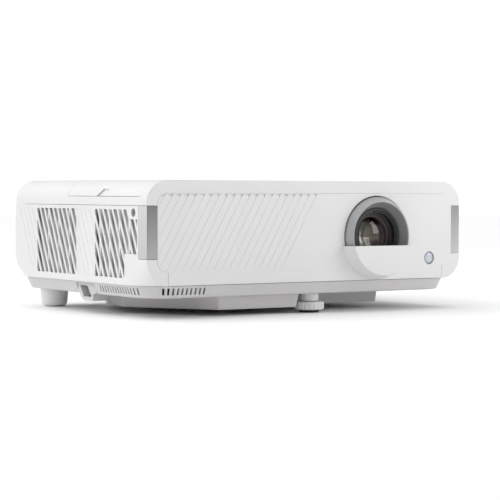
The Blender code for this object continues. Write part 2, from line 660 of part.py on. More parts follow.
# =============================================================================================
# Feet
# =============================================================================================
def build_feet():
    """Screw foot at the front, fixed drums at the rear."""
    bush = [(4.4, 9.4), (7.9, 9.4), (7.9, 30.0), (4.4, 30.0)]
    turned("front_foot_bushing", [(r * MM, z * MM) for r, z in bush], "Z", FOOT, "white_shell", 24)
    screw = [(2.4, 2.2), (10.2, 2.2), (12.5, 3.0), (12.5, 8.4), (11.9, 9.0), (4.1, 9.0), (4.1, 28.0),
             (0.0, 28.0), (0.0, 5.5), (2.4, 5.5)]
    turned("front_foot_screw", [(r * MM, z * MM) for r, z in screw], "Z", FOOT, "white_foot", 24)
    pad = [(0.0, 0.0), (7.2, 0.0), (8.3, 1.0), (8.3, 1.9), (2.1, 1.9), (2.1, 5.0), (0.0, 5.0)]
    turned("front_foot_pad", [(r * MM, z * MM) for r, z in pad], "Z", FOOT, "rubber", 24)
    drum = [(0.0, 0.0), (7.6, 0.0), (10.0, 1.5), (11.3, 5.2), (11.9, 15.7), (0.0, 15.7)]
    for name, side in (("rear_left_foot", -1), ("rear_right_foot", 1)):
        centre = Vector((side * REAR_FOOT_X, REAR_FOOT_Y, 0))
        turned(name, [(r * MM, z * MM) for r, z in drum], "Z", centre, "white_foot", 20)


def build_lamp_cover_screw():
    """Captive cross-head screw that locks the lamp cover, turned about X."""
    centre = Vector((0, LAMP_SCREW.y, LAMP_SCREW.z))
    head = [(0.0, -155.6), (2.4, -155.6), (2.9, -155.1), (2.9, -152.6), (1.5, -152.6), (1.5, -141.0),
            (0.0, -141.0)]
    obj = turned("lamp_cover_screw", [(r * MM, x * MM) for r, x in head], "X", centre, "plated_steel", 16)
    obj.location = (LAMP_SCREW.x, *centre.yz)
    obj.data.transform(Matrix.Translation((-LAMP_SCREW.x, 0, 0)))
    y, z, half, long = centre.y, centre.z, 0.35 * MM, 1.7 * MM
    cross = [(y - half, z - long), (y + half, z - long), (y + half, z - half), (y + long, z - half),
             (y + long, z + half), (y + half, z + half), (y + half, z + long), (y - half, z + long),
             (y - half, z + half), (y - long, z + half), (y - long, z - half), (y - half, z - half)]
    bm = bmesh.new()
    add_prism(bm, cross, "X", -157 * MM, -154.5 * MM)
    apply_tool(obj, tool("screw_cross", bm))


# =============================================================================================
# Keypad
# =============================================================================================
def key_outlines():
    """Name and plan outline of each key, about the keypad's middle."""
    keys = {"enter_button": circle((0, 0), 6.0 * MM, 20)}
    for name, start in (("right_button", -38), ("up_button", 52), ("left_button", 142), ("down_button", 232)):
        outer = arc((0, 0), 15.5 * MM, start, start + 76, 8)
        inner = arc((0, 0), 7.6 * MM, start + 76, start, 8)
        keys[name] = outer + inner
    places = {"power_button": -41, "source_button": -26, "menu_button": 26, "back_button": 41}
    for name, x in places.items():
        keys[name] = rounded_box(((x - 5.5) * MM, -4 * MM), ((x + 5.5) * MM, 4 * MM), [3.9 * MM] * 4, 4)
    return keys


def grown(outline, amount):
    """An outline moved outwards by an amount along its corner normals."""
    moved = []
    count = len(outline)
    turn = sum(a[0] * b[1] - b[0] * a[1] for a, b in zip(outline, outline[1:] + outline[:1]))
    sign = 1 if turn > 0 else -1
    for i in range(count):
        (ax, ay), (bx, by), (cx, cy) = outline[i - 1], outline[i], outline[(i + 1) % count]
        before, after = Vector((by - ay, ax - bx)).normalized(), Vector((cy - by, bx - cx)).normalized()
        normal = (before + after).normalized()
        reach = amount / max(normal.dot(before), 0.3)
        moved.append((bx + sign * normal.x * reach, by + sign * normal.y * reach))
    return moved


def build_keypad():
    """Plate in the top, its nine keys, three status lights and the switch board."""
    half = [size / 2 for size in KEYPAD_SIZE]
    plate = rounded_box((-half[0], -half[1]), (half[0], half[1]), [7.7 * MM] * 4, 4)
    moved = [(KEYPAD.x + x, KEYPAD.y + y) for x, y in plate]
    obj = prism("keypad_plate", moved, "Z", KEYPAD.z - KEYPAD_THICK, KEYPAD.z, "white_shell", KEYPAD)
    holes = bmesh.new()
    for name, outline in key_outlines().items():
        key = [(KEYPAD.x + x, KEYPAD.y + y) for x, y in outline]
        middle = Vector((sum(x for x, _ in key) / len(key), sum(y for _, y in key) / len(key), HEIGHT))
        prism(name, key, "Z", BUTTON_BOTTOM, HEIGHT, "key_grey", middle)
        around = [(KEYPAD.x + x, KEYPAD.y + y) for x, y in grown(outline, GAP)]
        add_prism(holes, around, "Z", KEYPAD.z - 2 * KEYPAD_THICK, HEIGHT + WALL)
    lights = [KEYPAD.x + x * MM for x in (-8, 0, 8)]
    light_y = KEYPAD.y + 18.8 * MM
    for x in lights:
        low = (x - 1.1 * MM, light_y - 1.0 * MM, KEYPAD.z - 2 * KEYPAD_THICK)
        add_box(holes, low, (x + 1.1 * MM, light_y + 1.0 * MM, HEIGHT + WALL))
    apply_tool(obj, tool("keypad_holes", holes))
    low, bar, top = 103.6 * MM, 105.1 * MM, KEYPAD.z
    comb = [(lights[0] - 2 * MM, bar), (lights[0] - 2 * MM, low), (lights[-1] + 2 * MM, low),
            (lights[-1] + 2 * MM, bar)]
    for x in reversed(lights):
        comb += [(x + 0.8 * MM, bar), (x + 0.8 * MM, top), (x - 0.8 * MM, top), (x - 0.8 * MM, bar)]
    prism("status_lights", comb, "Y", light_y - 0.7 * MM, light_y + 0.7 * MM, "light_guide",
          (lights[1], light_y, top))
    box("keypad_board", (KEYPAD.x - 50 * MM, KEYPAD.y - 20 * MM, 101.3 * MM),
        (KEYPAD.x + 50 * MM, KEYPAD.y + 20.5 * MM, 102.9 * MM), "circuit_board")


# =============================================================================================
# Rear connectors
# =============================================================================================
PORT_Z = 66 * MM
SOCKETS = (
    # name, centre x, width, height, depth, tongue height, all in mm
    ("hdmi_port_1", 50, 15.4, 6.4, 12, 1.4),
    ("hdmi_port_2", 27, 15.4, 6.4, 12, 1.4),
    ("usb_c_port", 6, 9.6, 3.8, 9, 0.7),
    ("usb_a_port", -14, 14.5, 7.0, 14, 2.0),
)
JACKS = (("audio_jack", -33),)
SERIAL_X = -76 * MM
AC_INLET = Vector((112 * MM, REAR, 62 * MM))
SKIN = 0.6 * MM


def build_rear_panel():
    """Rear face with an opening for each connector and a lock slot."""
    obj = prism("rear_panel", face_outline(-GAP / 2), "Y", REAR - FACE, REAR - 0.5 * MM, "white_shell")
    bm = bmesh.new()
    start, end = REAR - 2 * FACE, REAR + FACE
    for _, x, width, height, _, _ in SOCKETS:
        half_w, half_h = width / 2 * MM + GAP, height / 2 * MM + GAP
        add_box(bm, (x * MM - half_w, start, PORT_Z - half_h), (x * MM + half_w, end, PORT_Z + half_h))
    for _, x in JACKS:
        add_prism(bm, circle((x * MM, PORT_Z), 4.3 * MM, 20), "Y", start, end)
    add_box(bm, (SERIAL_X - 15.8 * MM, start, PORT_Z - 6.6 * MM), (SERIAL_X + 15.8 * MM, end, PORT_Z + 6.6 * MM))
    add_box(bm, (AC_INLET.x - 14.3 * MM, start, AC_INLET.z - 10.8 * MM),
            (AC_INLET.x + 14.3 * MM, end, AC_INLET.z + 10.8 * MM))
    add_box(bm, (-121.5 * MM, start, 60 * MM), (-118.5 * MM, end, 67 * MM))
    apply_tool(obj, tool("rear_holes", bm))


def build_sockets():
    """Flat sockets with a contact tongue, round jacks, the serial port and the mains inlet."""
    mouth = REAR - 0.8 * MM
    for name, x, width, height, depth, tongue in SOCKETS:
        x, half_w, half_h, depth = x * MM, width / 2 * MM, height / 2 * MM, depth * MM
        obj = box(name, (x - half_w, mouth - depth, PORT_Z - half_h), (x + half_w, mouth, PORT_Z + half_h),
                  "plated_steel")
        hollow = ((x - half_w + SKIN, mouth - depth + 1.5 * MM, PORT_Z - half_h + SKIN),
                  (x + half_w - SKIN, mouth + FACE, PORT_Z + half_h - SKIN))
        apply_tool(obj, box_tool(name + "_hollow", hollow))
        blade = ((x - half_w + 1.6 * MM, mouth - depth + 0.5 * MM, PORT_Z - tongue / 2 * MM),
                 (x + half_w - 1.6 * MM, mouth - 1.5 * MM, PORT_Z + tongue / 2 * MM))
        apply_tool(obj, box_tool(name + "_tongue", blade), "UNION")
    jack = [(1.9, 0.0), (4.0, 0.0), (4.0, -13.0), (0.0, -13.0), (0.0, -12.0), (1.9, -12.0)]
    for name, x in JACKS:
        turned(name, [(r * MM, mouth + y * MM) for r, y in jack], "Y", (x * MM, 0, PORT_Z),
               "black_plastic", 20)
    obj = box("serial_port", (SERIAL_X - 15.5 * MM, mouth - 11 * MM, PORT_Z - 6.3 * MM),
              (SERIAL_X + 15.5 * MM, mouth, PORT_Z + 6.3 * MM), "plated_steel")
    cup = [(SERIAL_X + x * MM, PORT_Z + z * MM) for x, z in ((-8.2, 3.9), (8.2, 3.9), (7.4, -3.9), (-7.4, -3.9))]
    bm = bmesh.new()
    add_prism(bm, cup, "Y", mouth - 6 * MM, mouth + FACE)
    for side in (-1, 1):
        add_prism(bm, circle((SERIAL_X + side * 12.5 * MM, PORT_Z), 1.5 * MM, 10), "Y", mouth - 6 * MM,
                  mouth + FACE)
    apply_tool(obj, tool("serial_cup", bm))
    build_ac_inlet(mouth)


def build_ac_inlet(mouth):
    """Three-pin mains inlet."""
    x, z = AC_INLET.x, AC_INLET.z
    obj = box("ac_inlet", (x - 14 * MM, mouth - 20 * MM, z - 10.5 * MM), (x + 14 * MM, mouth, z + 10.5 * MM),
              "black_plastic")
    corner = 4.5 * MM
    half_w, half_h = 12.2 * MM, 8.2 * MM
    cavity = [(x - half_w, z - half_h), (x + half_w, z - half_h), (x + half_w, z + half_h - corner),
              (x + half_w - corner, z + half_h), (x - half_w + corner, z + half_h),
              (x - half_w, z + half_h - corner)]
    bm = bmesh.new()
    add_prism(bm, cavity, "Y", mouth - 18 * MM, mouth + FACE)
    apply_tool(obj, tool("inlet_cavity", bm))
    pins = [((x + dx * MM - 1 * MM, mouth - 19 * MM, z + dz * MM - 2.1 * MM),
             (x + dx * MM + 1 * MM, mouth - 5.5 * MM, z + dz * MM + 2.1 * MM))
            for dx, dz in ((-7, -2), (0, 2), (7, -2))]
    apply_tool(obj, box_tool("inlet_pins", *pins), "UNION")


# =============================================================================================
# Inside
# =============================================================================================
def build_fan(prefix, side):
    """Axial fan behind a side vent: a square frame with a hub, and its rotor."""
    centre = Vector((side * FAN_X, FAN_Y, FAN_Z))
    half, depth = FAN_SIZE / 2, FAN_DEPTH / 2
    frame = box(prefix + "_fan_frame", centre - Vector((depth, half, half)), centre + Vector((depth, half, half)),
                "black_plastic")
    bm = bmesh.new()
    add_prism(bm, circle(centre.yz, FAN_BORE_R, 32), "X", centre.x - FAN_DEPTH, centre.x + FAN_DEPTH)
    apply_tool(frame, tool(prefix + "_bore", bm))
    inner = centre.x - side * depth
    low, high = sorted((inner, inner + side * 3 * MM))
    bm = bmesh.new()
    star = []
    for arm in range(4):
        angle = 90 * arm
        reach = FAN_BORE_R + MM
        for offset, radius in ((-10, 12 * MM), (-4, 12 * MM)):
            star.append((centre.y + radius * math.cos(math.radians(angle + offset)),
                         centre.z + radius * math.sin(math.radians(angle + offset))))
        for offset in (-2, 2):
            star.append((centre.y + reach * math.cos(math.radians(angle + offset)),
                         centre.z + reach * math.sin(math.radians(angle + offset))))
        for offset in (4, 45):
            star.append((centre.y + 12 * MM * math.cos(math.radians(angle + offset)),
                         centre.z + 12 * MM * math.sin(math.radians(angle + offset))))
    add_prism(bm, star, "X", low, high)
    apply_tool(frame, tool(prefix + "_spider", bm), "UNION")
    blades = 7
    outline = []
    for i in range(blades):
        start = 360 / blades * i
        for offset, radius in ((0, 12.5), (9, 27.0), (20, 27.5), (14, 12.5), (34, 12.5)):
            angle = math.radians(start + offset)
            outline.append((centre.y + radius * MM * math.cos(angle), centre.z + radius * MM * math.sin(angle)))
    near = inner + side * 4 * MM
    far = inner + side * 20 * MM
    prism(prefix + "_fan_rotor", outline, "X", *sorted((near, far)), "black_plastic", centre)


def build_lamp():
    """Lamp module under its cover: housing, reflector bowl and burner tube."""
    centre = Vector((0, -24 * MM, 58 * MM))
    housing = box("lamp_housing", (-132 * MM, -60 * MM, 24 * MM), (-66 * MM, 12 * MM, 92 * MM), "black_plastic")
    bm = bmesh.new()
    add_prism(bm, circle(centre.yz, 31 * MM, 28), "X", -129 * MM, -60 * MM)
    apply_tool(housing, tool("housing_bore", bm))
    bowl = [(6.0, -124.0), (14.0, -117.0), (22.0, -104.0), (28.0, -80.0), (30.0, -70.0), (28.5, -70.0),
            (26.5, -80.0), (20.5, -103.0), (12.5, -115.5), (6.0, -121.0)]
    turned("lamp_reflector", [(r * MM, x * MM) for r, x in bowl], "X", centre, "plated_steel", 28)
    burner = [(0.0, -127.0), (5.0, -127.0), (5.0, -116.0), (3.0, -113.0), (5.0, -108.0), (3.0, -103.0),
              (2.0, -92.0), (0.0, -91.0)]
    turned("lamp_burner", [(r * MM, x * MM) for r, x in burner], "X", centre, "lens_glass", 16)
    bracket = ((-149.9 * MM, -92 * MM, 72 * MM), (-128 * MM, -50 * MM, 91 * MM))
    apply_tool(housing, box_tool("lamp_bracket", bracket), "UNION")
    bm = bmesh.new()
    add_prism(bm, circle((LAMP_SCREW.y, LAMP_SCREW.z), 1.7 * MM, 16), "X", -160 * MM, -135 * MM)
    apply_tool(housing, tool("bracket_bore", bm))


def build_light_engine():
    """Colour wheel, imaging housing and the imager's heatsink."""
    hub = Vector((0, -24 * MM, 75 * MM))
    wheel = [(0.0, -40.0), (22.0, -40.0), (22.0, -39.0), (0.0, -39.0)]
    turned("colour_wheel", [(r * MM, x * MM) for r, x in wheel], "X", hub, "coated_glass", 32)
    motor = [(0.0, -38.5), (9.0, -38.5), (9.0, -26.0), (0.0, -26.0)]
    turned("colour_wheel_motor", [(r * MM, x * MM) for r, x in motor], "X", hub, "black_plastic", 20)
    box("light_engine", (-24 * MM, -44.9 * MM, 24 * MM), (112 * MM, 30 * MM, 92 * MM), "cast_alloy", bevel=4 * MM)
    fins, pitch, depth = 8, 6 * MM, 22 * MM
    start = -40 * MM
    comb = [(start, 38 * MM), (start + (fins - 1) * pitch + 2 * MM, 38 * MM)]
    for i in reversed(range(fins)):
        y = start + i * pitch
        comb += [(y + 2 * MM, 38 * MM + depth), (y, 38 * MM + depth)]
        if i:
            comb += [(y, 42 * MM), (y - pitch + 2 * MM, 42 * MM)]
    bm = bmesh.new()
    add_prism(bm, comb, "X", 113 * MM, 121 * MM)
    make("imager_heatsink", bm, "cast_alloy", (117 * MM, 0, 40 * MM))


def build_boards():
    """Main board that carries the connectors, power board and speaker."""
    board = box("main_board", (-98 * MM, 36 * MM, 56.4 * MM), (64 * MM, 100 * MM, 58.0 * MM), "circuit_board")
    chips = [((-60 * MM, 45 * MM, 57 * MM), (-35 * MM, 70 * MM, 62 * MM)),
             ((-10 * MM, 50 * MM, 57 * MM), (8 * MM, 68 * MM, 60.5 * MM)),
             ((28 * MM, 44 * MM, 57 * MM), (46 * MM, 56 * MM, 61 * MM))]
    apply_tool(board, box_tool("main_chips", *chips), "UNION")
    board = box("power_board", (-98 * MM, 36 * MM, 24 * MM), (98 * MM, 108 * MM, 25.6 * MM), "circuit_board")
    parts = [((-85 * MM, 45 * MM, 25 * MM), (-55 * MM, 75 * MM, 50 * MM)),
             ((10 * MM, 50 * MM, 25 * MM), (40 * MM, 85 * MM, 44 * MM)),
             ((60 * MM, 45 * MM, 25 * MM), (75 * MM, 60 * MM, 48 * MM))]
    apply_tool(board, box_tool("power_parts", *parts), "UNION")
    centre = Vector((0, -64 * MM, 56 * MM))
    cone = [(0.0, 136.0), (8.0, 136.0), (17.0, 148.0), (20.0, 148.0), (20.0, 145.0), (11.0, 133.0),
            (11.0, 128.0), (0.0, 128.0)]
    turned("speaker", [(r * MM, x * MM) for r, x in cone], "X", centre, "black_plastic", 28)


def clear_scene():
    """Remove whatever the scene starts with."""
    for obj in list(bpy.data.objects):
        bpy.data.objects.remove(obj, do_unlink=True)


def main():
    """Build every piece."""
    clear_scene()
    build_upper_shell()
    build_lamp_cover()
    for prefix, side in (("left", -1), ("right", 1)):
        build_side_panel(prefix + "_side_panel", side)
        build_corner_trim(prefix + "_corner_trim", side)
        build_inner_grille(prefix + "_inner_grille", side)
    build_front_panel()
    build_lens_hood()
    build_lower_case()
    build_base_cover()
    build_security_bar()
    build_lens()
    build_ir_window()
    build_feet()
    build_lamp_cover_screw()
    build_keypad()
    build_rear_panel()
    build_sockets()
    build_fan("exhaust", -1)
    build_fan("intake", 1)
    build_lamp()
    build_light_engine()
    build_boards()


main()
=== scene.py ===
"""Looks of a home projector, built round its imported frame.

Metres, +Z up.  The lens looks along -Y, and +X is to the right for someone facing the lens.
"""

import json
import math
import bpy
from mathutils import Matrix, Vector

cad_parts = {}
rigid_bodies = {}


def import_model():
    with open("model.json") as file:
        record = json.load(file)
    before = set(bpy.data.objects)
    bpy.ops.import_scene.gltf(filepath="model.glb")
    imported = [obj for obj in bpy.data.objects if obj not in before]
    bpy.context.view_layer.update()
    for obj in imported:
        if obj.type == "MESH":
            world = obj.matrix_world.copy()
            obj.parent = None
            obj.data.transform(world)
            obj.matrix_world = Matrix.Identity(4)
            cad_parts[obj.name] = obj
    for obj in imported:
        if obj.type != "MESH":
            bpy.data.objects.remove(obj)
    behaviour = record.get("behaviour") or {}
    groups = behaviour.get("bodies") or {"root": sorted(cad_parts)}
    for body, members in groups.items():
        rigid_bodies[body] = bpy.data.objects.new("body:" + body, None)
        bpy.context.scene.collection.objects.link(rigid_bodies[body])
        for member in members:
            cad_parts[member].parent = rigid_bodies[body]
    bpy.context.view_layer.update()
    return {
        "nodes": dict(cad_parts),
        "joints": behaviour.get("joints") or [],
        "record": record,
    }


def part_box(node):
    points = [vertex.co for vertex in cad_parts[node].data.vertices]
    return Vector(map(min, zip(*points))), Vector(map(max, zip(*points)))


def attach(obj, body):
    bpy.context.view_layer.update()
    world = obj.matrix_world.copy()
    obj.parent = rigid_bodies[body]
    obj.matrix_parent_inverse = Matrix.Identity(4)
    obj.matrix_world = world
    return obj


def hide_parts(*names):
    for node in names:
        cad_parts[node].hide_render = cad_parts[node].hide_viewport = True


bl_info = {
    "name": "Home Projector",
    "version": (1, 0, 0),
    "blender": (4, 5, 0),
    "location": "View3D > Sidebar > Projector",
    "description": "Builds the casing, lens, feet, keypad and connectors of a home projector",
    "category": "Add Mesh",
}

import bmesh
import bpy
from bpy.props import FloatProperty, FloatVectorProperty, IntProperty, PointerProperty
from mathutils import Matrix, Vector

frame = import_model()

MM = 0.001
TINY = 0.01 * MM            # two places nearer than this are the same place
GAP = 0.3 * MM              # air between two pieces that meet
WALL = 2.5 * MM             # moulded wall
FACE = 3 * MM               # front and rear faces

# ---- the casing, as the frame has it --------------------------------------------------------
SHELL_LOW, SHELL_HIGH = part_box("upper_shell")
SIDE_LOW, SIDE_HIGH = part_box("left_side_panel")
PANEL_LOW, PANEL_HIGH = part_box("front_panel")
HALF, TOP = SHELL_HIGH.x, SHELL_HIGH.z
FRONT, REAR = SHELL_LOW.y, SHELL_HIGH.y
MIDDLE = (FRONT + REAR) / 2
CORNER_R = 18.5 * MM        # round of the casing seen from the front
PLATE = 2.3 * MM            # straight rim of both faces, before the lower corners swell outwards
PLAN_R = {FRONT: 30 * MM, REAR: 20 * MM}    # round of the lower corners seen from above
PANEL_R = 9.35 * MM
PANEL_FOOT = 36.45 * MM     # lower edge of the inner panel, above its strip
STRIP_HALF = 136.55 * MM
SEAM = 0.1 * MM             # close joint between the inner panel and the frame round it
LAMP_COVER_FOOT = 95.15 * MM
LAMP_COVER_CLIP = Vector((-150.5, 13.4)) * MM       # where its front edge turns back, and how far

# ---- side vents: outlines of (y, z) in millimetres ------------------------------------------
VENT_LOW, VENT_HIGH = 31.3 * MM, 84.9 * MM
SLOT_SLANT = 0.483          # forward shift of a slot per unit of drop
REAR_VENT = [(7.3, 31.3), (76.5, 31.3), (76.5, 84.9), (7.3, 84.9)]
FRONT_VENT = [(-90.5, 50.4), (-70.9, 50.4), (-70.9, 31.3), (-24.0, 31.3), (-24.0, 84.9), (-76.8, 84.9),
              (-76.8, 77.4), (-90.5, 77.4)]
CLOSED_SLOTS = [[(-21.5, 31.3), (4.8, 31.3), (4.8, 84.9), (-21.5, 84.9)],
                [(79.0, 31.3), (113.0, 31.3), (113.0, 84.9), (79.0, 84.9)]]
THIN_FIELDS = [((5.5, 30.0), (78.3, 86.2)), ((-76.0, 30.0), (-22.5, 86.2)), ((-91.5, 49.0), (-70, 79.0))]
THIN_WALL = 0.8 * MM        # what is left of the wall round the vents
CLOSED_DEPTH = 0.22 * MM    # of the slots that don't go through

# ---- guard behind the vents ------------------------------------------------------------------
GUARD_BACK, GUARD_WALL = 0.9 * MM, 1.4 * MM
GUARD_FIELDS = [((-76.0, 30.4), (78.0, 85.8)), ((-91.2, 49.4), (-75.0, 78.6))]
GUARD_WINDOWS = [(-89.9, -77.8), (-75.6, -62.4), (-60.2, -47.0), (-44.8, -31.6), (-29.4, -23.0), (6.5, 20.4),
                 (22.0, 38.7), (40.3, 57.0), (58.6, 77.0)]
GUARD_GAP = ((-22.0, 20.0), (5.5, 90.0))    # no bars behind the closed slots
STEP_WINDOW_Z, WINDOW_Z = (50.0, 77.8), (31.0, 85.2)
SCREENS = [[(-90.5, 49.8), (-75.0, 49.8), (-75.0, 31.0), (-19.0, 31.0), (-19.0, 85.0), (-77.0, 85.0),
            (-77.0, 78.8), (-90.5, 78.8)],
           [(6.5, 31.0), (82.0, 31.0), (82.0, 85.0), (6.5, 85.0)]]
SCREEN_BACK, SCREEN_WALL = 4.2 * MM, 0.4 * MM

# ---- grooves of the front panel --------------------------------------------------------------
RIB_TOP, RIB_FOOT = 96.6 * MM, 38.4 * MM
RIB_SLANT = 0.58            # leftward shift of a groove per unit of drop
RIBS = 24
LAST_RIB = 3.9 * MM         # right edge of the last groove at its top
HEAD_RIGHT = 4.4 * MM       # right corner of the pit at its head

# ---- lower case ------------------------------------------------------------------------------
CASE_LOW, CASE_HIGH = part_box("lower_case")
CASE_TAPER = 3.4 * MM       # how far the walls draw in towards the bottom
LOUVRE_Z = (18.7 * MM, 23.9 * MM)
FRONT_LOUVRES = (-101.4 * MM, 10)           # first place along the wall, and how many
SIDE_LOUVRES = (-34.5 * MM, 15)
INSERT_X, INSERT_Y = 95 * MM, (-55 * MM, 85 * MM)
CASE_SCREWS = [(-60, -96), (60, -80), (112, 0), (-138, 40), (60, 100), (-60, 100)]

# ---- lens ------------------------------------------------------------------------------------
JOINTS = {joint["name"]: joint for joint in frame["joints"]}
LENS = Vector((JOINTS["focus_turn"]["pos_m"][0], FRONT, JOINTS["focus_turn"]["pos_m"][2]))
LENS_HOLE_R = 33.5 * MM
FOOT = Vector((*JOINTS["foot_turn"]["pos_m"][:2], 0))
COVER_SCREW = Vector(JOINTS["lamp_cover_screw_turn"]["pos_m"])


# =============================================================================================
# Settings
# =============================================================================================
def length(name, description, default):
    """A length property in metres."""
    return FloatProperty(name=name, description=description, default=default, min=0, subtype="DISTANCE",
                         unit="LENGTH", precision=5)


def colour(name, description, default):
    """A linear colour property."""
    return FloatVectorProperty(name=name, description=description, default=default, size=3, min=0, max=1,
                               subtype="COLOR")


def count(name, description, default):
    """A whole number of repeats."""
    return IntProperty(name=name, description=description, default=default, min=6)


def strength(name, description, default, unit="NONE"):
    """How strong a light is."""
    return FloatProperty(name=name, description=description, default=default, min=0, unit=unit)


class CasingSettings(bpy.types.PropertyGroup):
    """Sizes of the casing's details."""
    edge: length("Edge", "Rounding of moulded edges", 0.3 * MM)
    rim: length("Rim", "Rounding of the casing's edge round both faces", 0.9 * MM)
    panel_stand: length("Panel stand", "How far the inner panel stands in front of its frame", 0.25 * MM)
    rib_pitch: length("Rib pitch", "Distance between the face's slanted ribs", 7.2 * MM)
    rib_width: length("Rib groove width", "Width of the groove between two ribs", 1.9 * MM)
    rib_depth: length("Rib groove depth", "Depth of the groove between two ribs", 0.42 * MM)
    slot_pitch: length("Slot pitch", "Distance between the side vents' slots", 7.7 * MM)
    slot_width: length("Slot width", "Width of a side vent's slot", 5.0 * MM)
    louvre_pitch: length("Louvre pitch", "Distance between the lower case's louvres", 4.0 * MM)
    louvre_width: length("Louvre width", "Width of a louvre", 1.7 * MM)


class LensSettings(bpy.types.PropertyGroup):
    """Sizes of the lens rings."""
    steps: count("Steps", "Faces round a turned piece of the lens", 96)
    knurls: count("Knurls", "Grip ridges round the focus ring", 110)
    knurl_depth: length("Knurl depth", "Height of a grip ridge", 0.35 * MM)


class FootSettings(bpy.types.PropertyGroup):
    """Sizes of the feet."""
    lobes: count("Lobes", "Grip lobes round the front foot's wheel", 20)
    groove: length("Groove", "Radius of the groove between two lobes", 1.1 * MM)


class FinishSettings(bpy.types.PropertyGroup):
    """Colours of the mouldings."""
    shell: colour("Shell", "White casing", (0.76, 0.76, 0.76))
    case: colour("Lower case", "Pale warm grey of the lower case", (0.60, 0.587, 0.592))
    trim: colour("Trim", "Satin metal of the corner strips", (0.33, 0.33, 0.33))
    ring: colour("Rings", "Focus and zoom rings", (0.40, 0.405, 0.41))
    keys: colour("Keys", "Key caps", (0.42, 0.43, 0.45))


class StageSettings(bpy.types.PropertyGroup):
    """Light and floor."""
    floor: colour("Floor", "Pale floor", (0.985, 0.985, 0.985))
    surround: strength("Surround", "Strength of the white surround", 0.5)
    sky: strength("Sky", "Strength of the broad light above", 1.85)
    side: strength("Side", "Strength of the broad light at the left", 0.42)
    face: strength("Face light", "Power of the light at the front right", 3, "POWER")
    backdrop: strength("Backdrop", "Brightness of the backdrop", 1.05)


# =============================================================================================
# Finishes
# =============================================================================================
class Value:
    """A number inside a material, so that shader maths reads as an ordinary expression."""

    def __init__(self, finish, socket):
        self.finish, self.socket = finish, socket

    def maths(self, operation, first, second):
        return self.finish.node("ShaderNodeMath", {"operation": operation}, {0: first, 1: second})

    def __add__(self, other):
        return self.maths("ADD", self, other)

    def __rsub__(self, other):
        return self.maths("SUBTRACT", other, self)

    def __mul__(self, other):
        return self.maths("MULTIPLY", self, other)

    def __gt__(self, other):
        return self.maths("GREATER_THAN", self, other)

    __radd__ = __add__
    __rmul__ = __mul__


class Finish:
    """A Principled material with its own patterns, all laid on Object coordinates."""

    def __init__(self, name, base, roughness, **fixed):
        self.material = bpy.data.materials.new(name)
        self.material.use_nodes = True
        self.tree = self.material.node_tree
        self.shader = self.tree.nodes["Principled BSDF"]
        self.set("Base Color", (*base, 1))
        self.set("Roughness", roughness)
        for socket, value in fixed.items():
            self.set(socket.replace("_", " "), value)
        self.material.diffuse_color = (*base, 1)

    def connect(self, socket, value):
        """Link a value to a socket, or set the socket to it."""
        if isinstance(value, Value):
            self.tree.links.new(value.socket, socket)
        else:
            socket.default_value = value

    def set(self, name, value):
        self.connect(self.shader.inputs[name], value)

    def node(self, kind, settings, inputs, output=0):
        """A node of some kind, with its settings, then its sockets, and the output that is used."""
        made = self.tree.nodes.new(kind)
        for name, value in settings.items():
            if name == "stops":
                for element, (place, shade) in zip(made.color_ramp.elements, value):
                    element.position = place
                    element.color = (shade, shade, shade, 1)
            else:
                setattr(made, name, value)
        for name, value in inputs.items():
            self.connect(made.inputs[name], value)
        return Value(self, made.outputs[output])

    def place(self, scale=(1, 1, 1), turn=(0, 0, 0), shift=(0, 0, 0)):
        """Object coordinates, scaled, turned and moved."""
        here = self.node("ShaderNodeTexCoord", {}, {}, "Object")
        return self.node("ShaderNodeMapping", {},
                         {"Vector": here, "Scale": scale, "Rotation": turn, "Location": shift})

    def noise(self, scale, detail=2.0, stretch=(1, 1, 1)):
        """Soft random mottling, with a number of patches to the metre."""
        return self.node("ShaderNodeTexNoise", {},
                         {"Vector": self.place(stretch), "Scale": scale, "Detail": detail})

    def spread(self, value, low, high):
        """The middle of a noise, widened to the whole range."""
        return self.node("ShaderNodeMapRange", {},
                         {"Value": value, "From Min": low, "From Max": high, "To Min": 0.0, "To Max": 1.0})

    def mix(self, share, first, second):
        """A colour between two, by a share from 0 to 1."""
        return self.node("ShaderNodeMix", {"data_type": "RGBA"}, {0: share, 6: first, 7: second}, 2)

    def relief(self, height, depth, strength=1.0):
        """Raise the surface by a height pattern, to a depth in metres."""
        bump = self.node("ShaderNodeBump", {}, {"Height": height, "Distance": depth, "Strength": strength})
        self.set("Normal", bump)


def shade(base, factor):
    """A colour made lighter or darker, with its alpha."""
    return (*[min(channel * factor, 1.0) for channel in base], 1)


def moulded(name, base, roughness, grain=0.02 * MM, **fixed):
    """Injection-moulded plastic: a fine eroded grain, and a faint unevenness of tone and gloss."""
    made = Finish(name, base, roughness, **fixed)
    cloud = made.spread(made.noise(14, 3.0), 0.35, 0.65)
    made.set("Base Color", made.mix(cloud, shade(base, 0.985), shade(base, 1.01)))
    made.set("Roughness", made.noise(55) * 0.12 + (roughness - 0.06))
    made.relief(made.noise(1900, 3.0), grain, 0.35)
    return made.material


def brushed(name, base, roughness, stretch, **fixed):
    """Metal with a drawn grain along the direction that is stretched least."""
    made = Finish(name, base, roughness, **fixed)
    grain = made.noise(1.0, 4.0, stretch)
    made.set("Base Color", made.mix(grain, shade(base, 0.9), shade(base, 1.08)))
    made.set("Roughness", grain * 0.16 + (roughness - 0.08))
    made.relief(grain, 0.01 * MM, 0.3)
    return made.material


